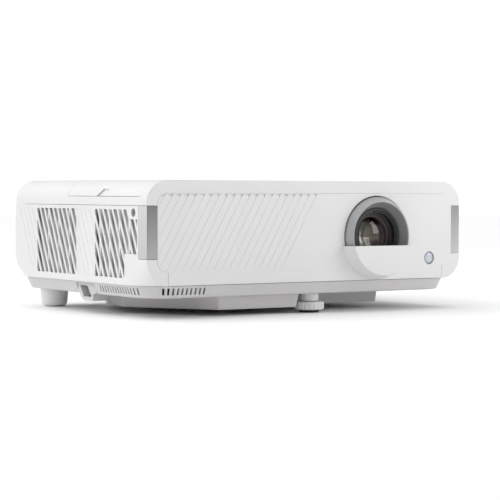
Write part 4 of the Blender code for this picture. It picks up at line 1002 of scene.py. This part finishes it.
# =============================================================================================
# Lens
# =============================================================================================
class PROJECTOR_OT_lens(bpy.types.Operator):
    """Build the hood, the focus and zoom rings, the barrel and the glass"""
    bl_idname = "projector.lens"
    bl_label = "Lens"

    def execute(self, context):
        sizes = context.scene.projector_lens
        self.hood()
        self.focus_ring(sizes)
        self.barrel(sizes)
        self.glass(sizes)
        return {"FINISHED"}

    def spun(self, name, profile, steps):
        """A turned piece of the lens, from radii and depths behind the face in millimetres."""
        return turned(name, [(radius * MM, depth * MM) for radius, depth in profile], "Y", LENS, steps)

    def hood(self):
        """Half-moon hood: a thin-walled cup with a flat top edge."""
        low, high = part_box("lens_hood")
        profile = [(0.0, -12.0), (32.0, -12.0), (32.5, -11.6), (36.1, -0.3), (34.3, -0.3), (30.7, -10.2),
                   (0.0, -10.2)]
        hood = self.spun("hood", profile, 128)
        combine(hood, block("above", (low.x - MM, low.y - MM, high.z), (high.x + MM, high.y + MM, TOP)))
        soften(hood, 0.45 * MM, 3)
        done(hood, "lens_hood_skin", "white_shell", ["lens_hood"])

    def focus_ring(self, sizes):
        """Focus ring: grip ridges next to the face, a smooth cone, a rolled rim and a funnel for the light,
        whose inner faces are painted darker as shade.
        """
        profile = [(32.2, 3.0), (32.2, -1.9), (31.5, -2.3), (29.6, -6.5), (29.2, -7.0), (28.7, -7.1),
                   (28.2, -6.8), (27.6, -5.9), (24.4, -1.4), (23.8, -0.6), (23.8, 3.0)]
        steps = 2 * sizes.knurls
        ring = self.spun("focus_ring", profile, steps)
        step = math.tau / steps

        def ridge(face):
            place, out = middle(face) - LENS, face.normal
            number = int((math.atan2(place.z, place.x) % math.tau) / step)
            return number % 2 == 0 and abs(out.y) < 0.1 and place.xz.length > 32 * MM

        pick(ring, "FACE", ridge)
        bpy.ops.mesh.extrude_region_shrink_fatten(TRANSFORM_OT_shrink_fatten={"value": sizes.knurl_depth})
        begin()
        smooth(ring, 40)
        done(ring, "focus_ring_skin", "pale_ring", ["focus_ring"], "focus_ring")

        def funnel(face):
            out = face.center - LENS
            return out.xz.length < 28 * MM and out.xz.dot(face.normal.xz) < 0

        # the funnel's inner faces get the darker grey: painted shade
        inlay(ring, "funnel_painted_shade", funnel)
        zoom = self.spun("zoom_ring", [(32.2, 3.4), (33.0, 4.0), (33.0, 11.4), (32.4, 12.0), (23.8, 12.0),
                                       (23.8, 3.4)], steps)
        smooth(zoom, 40)
        done(zoom, "zoom_ring_skin", "pale_ring", ["zoom_ring"], "zoom_ring")

    def barrel(self, sizes):
        """Black barrel with its stepped mouth, and the notched retaining ring inside it."""
        mouth = [(23.4, -0.4), (23.1, -0.7), (21.5, -0.7), (21.2, -0.4)]
        tube = [(23.4, 56.0), (27.5, 56.0), (27.5, 59.7), (16.5, 59.7), (16.5, 14.0), (18.4, 14.0),
                (18.4, 7.4), (21.2, 7.4)]
        barrel = self.spun("barrel", mouth[:1] + tube + mouth[:0:-1], sizes.steps)
        smooth(barrel)
        done(barrel, "lens_barrel_skin", "black_plastic", ["lens_barrel"])
        steps = [(20.9, 0.2), (20.9, 7.2), (18.3, 7.2), (18.3, 8.6), (15.7, 8.6), (15.7, 7.8)]
        for i in range(4):
            radius, depth = 16.1 + 0.9 * i, 7.6 - 1.2 * i
            steps += [(radius, depth), (radius + 0.15, depth - 0.9)]
        steps += [(19.6, 3.1), (19.9, 0.2)]
        ring = self.spun("retainer", steps, sizes.steps)
        for angle in (97, 217, 337):
            notch = block("notch", (-0.7 * MM, -0.2 * MM, 18.6 * MM), (0.7 * MM, 2.4 * MM, 21.5 * MM))
            choose(notch)
            bpy.ops.transform.translate(value=LENS)
            bpy.ops.transform.rotate(value=math.radians(angle - 90), orient_axis="Y", center_override=LENS)
            combine(ring, settled("notch"))
        smooth(ring)
        done(ring, "lens_retaining_ring_skin", "black_plastic", ["lens_retaining_ring"])
        inlay(ring, "bronze_ring", lambda face: 15.9 * MM < (face.center - LENS).xz.length < 16.9 * MM)
        bronze = self.spun("bronze", [(18.2, 8.9), (18.2, 11.8), (15.9, 11.8), (15.9, 8.9)], sizes.steps)
        smooth(bronze)
        done(bronze, "lens_spacer", "black_plastic", finish="bronze_ring")

    def bowl(self, radius, vertex, edge, steps=9):
        """Profile of a dome: its vertex and its edge as depths behind the face."""
        sag = edge - vertex
        ball = (radius ** 2 + sag ** 2) / (2 * abs(sag))
        widest = math.asin(radius / ball)
        turns = [widest * i / steps for i in range(steps + 1)]
        return [(ball * math.sin(turn), vertex + math.copysign(ball, sag) * (1 - math.cos(turn)))
                for turn in turns]

    def glass(self, sizes):
        """Front lens, two coated elements seen through it, the iris and the rear lens."""
        front = self.bowl(15.6, 4.4, 8.4) + [(15.6, 11.0)] + self.bowl(14.4, 12.4, 11.0)[::-1]
        lens = self.spun("front_glass", front, sizes.steps)
        smooth(lens, 50)
        done(lens, "front_lens_skin", "coated_glass", ["front_lens"])
        for name, finish, radius, vertex, edge in (("second_element", "violet_element", 13.0, 17.5, 21.5),
                                                   ("third_element", "green_element", 8.6, 15.2, 16.4)):
            dome = self.bowl(radius, vertex, edge) + [(radius, edge + 1.5), (0.0, edge + 1.5)]
            element = self.spun(name, dome, sizes.steps)
            smooth(element, 50)
            done(element, name, "coated_glass", finish=finish)
        iris = self.spun("iris", [(16.4, 24.0), (16.4, 25.0), (9.0, 25.0), (9.0, 24.0)], sizes.steps)
        smooth(iris)
        done(iris, "lens_iris", "black_plastic", finish="matt_black")
        dome = self.bowl(16.2, 40.0, 43.4) + [(16.2, 47.0), (0.0, 47.0)]
        rear = self.spun("rear_glass", dome, sizes.steps)
        smooth(rear, 50)
        done(rear, "rear_lens_skin", "lens_glass", ["rear_lens"])


# =============================================================================================
# Lower case
# =============================================================================================
def case_block(name, inset, low, high):
    """Tapered tub with large round corners."""
    corner_low = (CASE_LOW.x + inset, CASE_LOW.y + inset, low)
    corner_high = (CASE_HIGH.x - inset, CASE_HIGH.y - inset, high)
    obj = block(name, corner_low, corner_high)
    for face, radius in PLAN_R.items():
        front = face == FRONT
        round_edges(obj, lambda e: along(e, "Z") and (middle(e).y < MIDDLE) == front,
                    radius - 1.15 * MM - inset, 14)
    pick(obj, "FACE", lambda face: face.normal.z < -0.9)
    half_x, half_y = corner_high[0], (corner_high[1] - corner_low[1]) / 2
    ratio = ((half_x - CASE_TAPER) / half_x, (half_y - CASE_TAPER) / half_y, 1)
    bpy.ops.transform.resize(value=ratio, center_override=(0, MIDDLE, low))
    begin()
    return obj


class PROJECTOR_OT_lower_case(bpy.types.Operator):
    """Build the lower case with its louvres, the base cover and the security anchor"""
    bl_idname = "projector.lower_case"
    bl_label = "Lower case"

    def execute(self, context):
        sizes = context.scene.projector_casing
        case = case_block("case", 0, CASE_LOW.z, CASE_HIGH.z)
        round_edges(case, lambda e: middle(e).z < CASE_LOW.z + TINY, 1.4 * MM, 4)
        combine(case, case_block("hollow", WALL, CASE_LOW.z + 2.2 * MM, CASE_HIGH.z + MM))
        combine(case, self.louvres(sizes))
        combine(case, rod("foot_hole", "Z", FOOT, 8.2 * MM, 10 * MM, 22 * MM, 48))
        anchor_low, anchor_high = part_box("security_bar")
        combine(case, block("notch", (-1, anchor_low.y - GAP, 0), (anchor_high.x + GAP, anchor_high.y + GAP,
                                                                  anchor_high.z + GAP)))
        inserts = [(x, y) for x in (-INSERT_X, INSERT_X) for y in INSERT_Y]
        for x, y in inserts:
            combine(case, rod("insert_hole", "Z", (x, y, 0), 2.1 * MM, 10 * MM, 22 * MM, 24))
        soften(case, sizes.edge)
        done(case, "lower_case_skin", "grey_case", ["lower_case"])
        for node, edge in (("base_cover", 0.5 * MM), ("security_bar", 0.3 * MM)):
            piece = from_node(node)
            soften(piece, edge, 3)
            done(piece, node + "_skin", "grey_case", [node])
        self.inserts(inserts[1::2])
        return {"FINISHED"}

    def louvres(self, sizes):
        """Upright cutters round the front left corner: along the front, then from past the corner back."""
        inset = HALF + CASE_LOW.x + CASE_TAPER / 2
        radius = PLAN_R[FRONT] - inset / 2
        corner = Vector((-HALF + inset + radius, FRONT + inset + radius, sum(LOUVRE_Z) / 2))
        first, count = FRONT_LOUVRES
        runs = [first - corner.x - i * sizes.louvre_pitch for i in range(count)]
        first, count = SIDE_LOUVRES
        runs += [first - i * sizes.louvre_pitch for i in range(count)]
        cutters = []
        for run in runs:
            turn = min(max(-run / radius, 0.0), math.pi / 2)
            place = corner + radius * Vector((-math.sin(turn), -math.cos(turn), 0))
            place.x += max(run, 0.0)
            place.y += max(-run - radius * math.pi / 2, 0.0)
            begin()
            bpy.ops.mesh.primitive_cube_add(size=1, location=place, rotation=(0, 0, -turn),
                                            scale=(sizes.louvre_width, 12 * MM, LOUVRE_Z[1] - LOUVRE_Z[0]))
            cutters.append(settled("louvre"))
        return joined("louvres", cutters)

    def inserts(self, places):
        """Threaded brass inserts for a ceiling bracket."""
        pieces = []
        for x, y in places:
            profile = [(1.2, 16.1), (1.5, 15.8), (1.9, 15.8), (1.9, 18.0), (1.2, 18.0)]
            pieces.append(turned("insert", [(r * MM, z * MM) for r, z in profile], "Z", (x, y, 0), 24))
        insert = joined("inserts", pieces)
        smooth(insert)
        done(insert, "bracket_inserts", "plated_steel", finish="gold_contact")


# =============================================================================================
# Feet
# =============================================================================================
class PROJECTOR_OT_feet(bpy.types.Operator):
    """Build the front screw foot and both rear feet"""
    bl_idname = "projector.feet"
    bl_label = "Feet"

    def execute(self, context):
        sizes = context.scene.projector_feet
        collar = [(4.4, 9.4), (7.5, 9.4), (7.9, 9.8), (7.9, 30.0), (4.4, 30.0)]
        done(self.spun("collar", collar, FOOT, 64), "front_foot_bushing_skin", "white_shell",
             ["front_foot_bushing"])
        self.wheel(sizes)
        pad = [(0.0, 0.3), (2.6, 0.3), (3.0, 0.0), (7.2, 0.0), (8.0, 0.4), (8.3, 1.0), (8.3, 1.9),
               (2.1, 1.9), (2.1, 5.0), (0.0, 5.0)]
        done(self.spun("pad", pad, FOOT, 64), "front_foot_pad_skin", "rubber", ["front_foot_pad"],
             "foot_pad")
        for node in ("rear_left_foot", "rear_right_foot"):
            low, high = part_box(node)
            centre = ((low.x + high.x) / 2, (low.y + high.y) / 2, 0)
            drum = [(0.0, 0.4), (7.6, 0.4), (8.9, 0.7), (10.0, 1.5), (10.8, 2.9), (11.3, 5.2), (11.9, 15.7),
                    (0.0, 15.7)]
            done(self.spun("drum", drum, centre, 64), node + "_skin", "white_foot", [node])
            sole = [(0.0, 0.0), (7.0, 0.0), (7.4, 0.15), (7.4, 0.38), (0.0, 0.38)]
            done(self.spun("sole", sole, centre, 64), node + "_sole", "rubber")
        return {"FINISHED"}

    def spun(self, name, profile, centre, steps):
        """A turned foot piece, from radii and heights in millimetres."""
        piece = turned(name, [(radius * MM, height * MM) for radius, height in profile], "Z", centre, steps)
        smooth(piece)
        return piece

    def wheel(self, sizes):
        """Thumb wheel with broad lobes, its grooves made one by one round it and cut together."""
        profile = [(2.4, 2.2), (10.2, 2.2), (11.9, 2.6), (12.5, 3.4), (12.5, 8.0), (11.9, 8.8), (11.2, 9.0),
                   (4.1, 9.0), (4.1, 28.0), (0.0, 28.0), (0.0, 5.5), (2.4, 5.5)]
        wheel = turned("wheel", [(r * MM, z * MM) for r, z in profile], "Z", FOOT, 96)
        step = math.tau / sizes.lobes
        grooves = []
        for i in range(sizes.lobes):
            place = FOOT + 13.0 * MM * Vector((math.cos(i * step), math.sin(i * step), 0))
            grooves.append(rod("groove", "Z", place, sizes.groove, 1 * MM, 10 * MM, 12))
        combine(wheel, joined("grooves", grooves))
        soften(wheel, 0.2 * MM, 2, 40)
        done(wheel, "front_foot_screw_skin", "white_foot", ["front_foot_screw"], "foot_screw")


# =============================================================================================
# Keypad
# =============================================================================================
class PROJECTOR_OT_keypad(bpy.types.Operator):
    """Build the keypad's plate, its keys with their marks, and the status lights"""
    bl_idname = "projector.keypad"
    bl_label = "Keypad"

    def execute(self, context):
        plate = from_node("keypad_plate")
        soften(plate, 0.25 * MM)
        done(plate, "keypad_plate_skin", "white_shell", ["keypad_plate"])
        marks = {"power": self.power, "source": self.source, "menu": self.menu, "back": self.back,
                 "up": self.arrow, "down": self.arrow, "left": self.arrow, "right": self.arrow,
                 "enter": self.dot}
        turns = {"up": 90, "down": 270, "left": 180, "right": 0}
        for key, draw in marks.items():
            node = key + "_button"
            low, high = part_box(node)
            cap = from_node(node)
            soften(cap, 0.5 * MM, 3)
            centre = (low + high) / 2
            centre.z = high.z
            mark = draw(centre, turns.get(key, 0))
            combine(cap, mark)
            smooth(cap)
            done(cap, node + "_skin", "key_grey", [node], node)
            sunk = high.z - 0.1 * MM
            inlay(cap, "key_mark", lambda face: face.normal.z > 0.9 and face.center.z < sunk)
        lights = from_node("status_lights")
        smooth(lights)
        done(lights, "status_lights_skin", "light_guide", ["status_lights"])
        return {"FINISHED"}

    def bar(self, centre, low, high):
        """A sunk mark's rectangle, from millimetres about the key's middle."""
        depth = 0.25 * MM
        return block("mark", centre + Vector((low[0] * MM, low[1] * MM, -depth)),
                     centre + Vector((high[0] * MM, high[1] * MM, MM)))

    def arrow(self, centre, turn):
        """A triangle that points outwards."""
        points = arc((centre.x, centre.y), 1.7 * MM, turn, turn + 240, 2)
        return slab("mark", [(x, y, centre.z - 0.25 * MM) for x, y in points], (0, 0, MM))

    def dot(self, centre, turn):
        """A thin ring."""
        ring = rod("mark", "Z", centre, 2.6 * MM, centre.z - 0.25 * MM, centre.z + MM, 32)
        return combine(ring, rod("core", "Z", centre, 2.0 * MM, centre.z - MM, centre.z + 2 * MM, 32))

    def power(self, centre, turn):
        """An open ring with a bar through its gap."""
        ring = rod("mark", "Z", centre, 2.3 * MM, centre.z - 0.25 * MM, centre.z + MM, 32)
        combine(ring, rod("core", "Z", centre, 1.8 * MM, centre.z - MM, centre.z + 2 * MM, 32))
        combine(ring, block("gap", centre + Vector((-0.8 * MM, 0, -MM)),
                            centre + Vector((0.8 * MM, 4 * MM, 2 * MM))))
        return combine(ring, self.bar(centre, (-0.25, 0.4), (0.25, 2.6)), "UNION")

    def source(self, centre, turn):
        """A screen with an arrow's bar going in."""
        frame_mark = self.bar(centre, (-2.4, -1.8), (2.4, 1.8))
        inside = block("inside", centre + Vector((-1.9 * MM, -1.3 * MM, -MM)),
                       centre + Vector((1.9 * MM, 1.3 * MM, 2 * MM)))
        combine(frame_mark, inside)
        return combine(frame_mark, self.bar(centre, (-2.8, -0.25), (0.6, 0.25)), "UNION")

    def menu(self, centre, turn):
        """Three bars."""
        return joined("mark", [self.bar(centre, (-2.2, y - 0.25), (2.2, y + 0.25)) for y in (-1.5, 0, 1.5)])

    def back(self, centre, turn):
        """An arrow that points left, with a tail."""
        tail = self.bar(centre, (-1.2, -0.25), (2.4, 0.25))
        return combine(self.arrow(centre + Vector((-1.0 * MM, 0, 0)), 180), tail, "UNION")


# =============================================================================================
# Rear connectors and small pieces
# =============================================================================================
class PROJECTOR_OT_rear(bpy.types.Operator):
    """Build the rear panel and its connectors"""
    bl_idname = "projector.rear"
    bl_label = "Rear"

    def execute(self, context):
        panel = from_node("rear_panel")
        soften(panel, 0.3 * MM)
        done(panel, "rear_panel_skin", "white_shell", ["rear_panel"])
        for node in ("hdmi_port_1", "hdmi_port_2", "usb_a_port", "usb_c_port"):
            self.socket(node)
        for node, slot in (("audio_jack", "black_plastic"), ("ac_inlet", "black_plastic"),
                           ("serial_port", "plated_steel")):
            piece = from_node(node)
            soften(piece, 0.2 * MM)
            done(piece, node + "_skin", slot, [node])
            if node == "ac_inlet":
                pins_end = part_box(node)[1].y - 4 * MM
                middle_z = (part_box(node)[0].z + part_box(node)[1].z) / 2
                inlay(piece, "plated_steel", lambda face: self.is_pin(face, node, pins_end, middle_z))
        self.serial_pins()
        self.screws()
        return {"FINISHED"}

    def is_pin(self, face, node, mouth, height):
        """Whether a face of the mains inlet belongs to one of its pins."""
        low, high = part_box(node)
        centre = (low + high) / 2
        near = min(abs(face.center.x - centre.x - x) for x in (-7 * MM, 0, 7 * MM)) < 1.3 * MM
        inside = low.y + 2.5 * MM < face.center.y < mouth
        return near and inside and abs(face.center.z - height) < 5 * MM

    def socket(self, node):
        """A plated shell with a black contact tongue."""
        low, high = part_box(node)
        piece = from_node(node)
        soften(piece, 0.15 * MM)
        done(piece, node + "_skin", "plated_steel", [node])
        skin = 1.3 * MM
        inner_low = low + Vector((skin, 0, skin / 1.4))
        inner_high = high - Vector((skin, 1.2 * MM, skin / 1.4))
        inlay(piece, "black_plastic", lambda face: low.y + 2 * MM < face.center.y < inner_high.y
              and inner_low.x < face.center.x < inner_high.x and inner_low.z < face.center.z < inner_high.z)

    def serial_pins(self):
        """Nine contacts in two rows inside the serial port, and its two hexagonal posts."""
        low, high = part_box("serial_port")
        centre = (low + high) / 2
        pins = []
        for row, count in ((1.42, 5), (-1.42, 4)):
            for i in range(count):
                x = centre.x + (i - (count - 1) / 2) * 2.77 * MM
                pins.append(rod("pin", "Y", (x, 0, centre.z + row * MM), 0.5 * MM, high.y - 6.2 * MM,
                                high.y - 1.4 * MM, 12))
        contacts = joined("pins", pins)
        smooth(contacts)
        done(contacts, "serial_port_pins", "plated_steel", finish="gold_contact")
        posts = []
        for side in (-1, 1):
            x = centre.x + side * 12.5 * MM
            post = rod("post", "Y", (x, 0, centre.z), 2.6 * MM, high.y + 0.02 * MM, high.y + 0.75 * MM, 6)
            combine(post, rod("bore", "Y", (x, 0, centre.z), 1.2 * MM, high.y - MM, high.y + 2 * MM, 20))
            soften(post, 0.12 * MM)
            posts.append(post)
        done(joined("posts", posts), "serial_port_posts", "plated_steel")

    def screws(self):
        """Cross-head screws: the lamp cover's own, and those under the case."""
        screw = from_node("lamp_cover_screw")
        soften(screw, 0.15 * MM)
        done(screw, "lamp_cover_screw_skin", "plated_steel", ["lamp_cover_screw"], "lamp_cover_screw",
             "dark_steel")
        heads = []
        for x, y in CASE_SCREWS:
            place = Vector((x * MM, y * MM, 0))
            profile = [(0.0, -0.7), (1.6, -0.6), (2.4, -0.3), (2.7, 0.0), (0.0, 0.0)]
            profile = [(r * MM, CASE_LOW.z - 0.02 * MM + z * MM) for r, z in profile]
            head = turned("head", profile, "Z", place, 24)
            for long, wide in ((1.5, 0.3), (0.3, 1.5)):
                reach = Vector((long * MM, wide * MM, 0))
                combine(head, block("cross", place - reach + Vector((0, 0, CASE_LOW.z - 2 * MM)),
                                    place + reach + Vector((0, 0, CASE_LOW.z - 0.35 * MM))))
            heads.append(head)
        piece = joined("heads", heads)
        smooth(piece)
        done(piece, "case_screw_heads", "plated_steel")


class PROJECTOR_OT_inside(bpy.types.Operator):
    """Give the pieces inside the casing their finishes"""
    bl_idname = "projector.inside"
    bl_label = "Inside"

    def execute(self, context):
        slots = {part["node"]: part["material_slot"] for part in frame["record"]["subparts"]}
        for name, obj in frame["nodes"].items():
            for slot in obj.material_slots:
                slot.material = FINISHES[slots[name]]
        return {"FINISHED"}


# =============================================================================================
# Stage
# =============================================================================================
class PROJECTOR_OT_stage(bpy.types.Operator):
    """Set out the pale floor, the soft lights and the camera"""
    bl_idname = "projector.stage"
    bl_label = "Stage"

    def execute(self, context):
        settings = context.scene.projector_stage
        begin()
        bpy.ops.mesh.primitive_plane_add(size=12)
        floor = settled("floor")
        surface = Finish("pale_floor", settings.floor, 0.6)
        tones = [shade(settings.floor, factor) for factor in (0.995, 1.005)]
        surface.set("Base Color", surface.mix(surface.noise(3), *tones))
        floor.data.materials.append(surface.material)
        self.backdrop(settings)
        self.sun("sky_light", (-0.45, 0.35, 1.0), 1.5, settings.sky)
        self.sun("side_light", (-1.0, 0.55, 0.55), 0.5, settings.side)
        self.face_light((0.8, -0.65, 0.35), (0.1, -0.1, 0.06), 0.5, settings.face)
        world = bpy.data.worlds.new("surround")
        world.use_nodes = True
        background = world.node_tree.nodes["Background"]
        background.inputs["Color"].default_value = (1, 1, 1, 1)
        background.inputs["Strength"].default_value = settings.surround
        context.scene.world = world
        context.scene.view_settings.view_transform = "Standard"
        self.camera(context)
        return {"FINISHED"}

    def backdrop(self, settings):
        """A white screen all round, far behind the object."""
        begin()
        bpy.ops.mesh.primitive_cylinder_add(vertices=64, radius=6, depth=6, end_fill_type="NOTHING",
                                            location=(0, 0, 2.99))
        screen = settled("backdrop")
        surface = Finish("backdrop_white", (0, 0, 0), 1.0, Emission_Color=(1, 1, 1, 1),
                         Emission_Strength=settings.backdrop)
        screen.data.materials.append(surface.material)
        screen.visible_diffuse = screen.visible_glossy = screen.visible_shadow = False

    def sun(self, name, toward, spread, strength):
        """A broad light from far away, given the direction it comes from."""
        begin()
        bpy.ops.object.light_add(type="SUN", location=Vector(toward) * 3)
        lamp = bpy.context.object
        lamp.name = lamp.data.name = name
        lamp.data.angle = spread
        lamp.data.energy = strength
        lamp.rotation_euler = Vector(toward).to_track_quat("Z", "Y").to_euler()

    def face_light(self, place, aim, size, power):
        """A square soft light near the lens."""
        begin()
        bpy.ops.object.light_add(type="AREA", location=place)
        lamp = bpy.context.object
        lamp.name = lamp.data.name = "face_light"
        lamp.data.size = size
        lamp.data.energy = power
        lamp.rotation_euler = (Vector(aim) - Vector(place)).to_track_quat("-Z", "Y").to_euler()
        lamp.visible_camera = False

    def camera(self, context):
        """A long lens low at the front left."""
        place = (-0.8465, -1.2697, 0.0993)
        heading, tilt, roll = 0.59334, -0.03306, 0.00325
        begin()
        bpy.ops.object.camera_add(location=place)
        camera = bpy.context.object
        camera.name = camera.data.name = "camera"
        turn = Matrix.Rotation(-heading, 3, "Z") @ Matrix.Rotation(math.pi / 2 + tilt, 3, "X")
        camera.rotation_euler = (turn @ Matrix.Rotation(roll, 3, "Z")).to_euler()
        camera.data.sensor_width = 36
        camera.data.lens = 127.72
        context.scene.camera = camera


class PROJECTOR_PT_panel(bpy.types.Panel):
    """Projector tools in the sidebar"""
    bl_label = "Projector"
    bl_idname = "PROJECTOR_PT_panel"
    bl_space_type = "VIEW_3D"
    bl_region_type = "UI"
    bl_category = "Projector"

    def draw(self, context):
        for group in SETTINGS:
            box = self.layout.box()
            settings = getattr(context.scene, group)
            for name in settings.__annotations__:
                box.prop(settings, name)
        for operator in OPERATORS:
            self.layout.operator(operator.bl_idname)


SETTINGS = {"projector_casing": CasingSettings, "projector_lens": LensSettings,
            "projector_feet": FootSettings, "projector_finish": FinishSettings,
            "projector_stage": StageSettings}
OPERATORS = (PROJECTOR_OT_inside, PROJECTOR_OT_top, PROJECTOR_OT_sides, PROJECTOR_OT_trims,
             PROJECTOR_OT_face, PROJECTOR_OT_lens, PROJECTOR_OT_lower_case, PROJECTOR_OT_feet,
             PROJECTOR_OT_keypad, PROJECTOR_OT_rear, PROJECTOR_OT_stage)


def register():
    """Add the classes and their settings."""
    for group in (*SETTINGS.values(), *OPERATORS, PROJECTOR_PT_panel):
        bpy.utils.register_class(group)
    for name, group in SETTINGS.items():
        setattr(bpy.types.Scene, name, PointerProperty(type=group))


def unregister():
    """Take the settings and the classes away again."""
    for name in SETTINGS:
        delattr(bpy.types.Scene, name)
    for group in reversed((*SETTINGS.values(), *OPERATORS, PROJECTOR_PT_panel)):
        bpy.utils.unregister_class(group)


def main():
    """Build every piece and the stage."""
    register()
    make_finishes(bpy.context.scene.projector_finish)
    for operator in OPERATORS:
        group, name = operator.bl_idname.split(".")
        getattr(getattr(bpy.ops, group), name)()


if __name__ == "__main__":
    main()
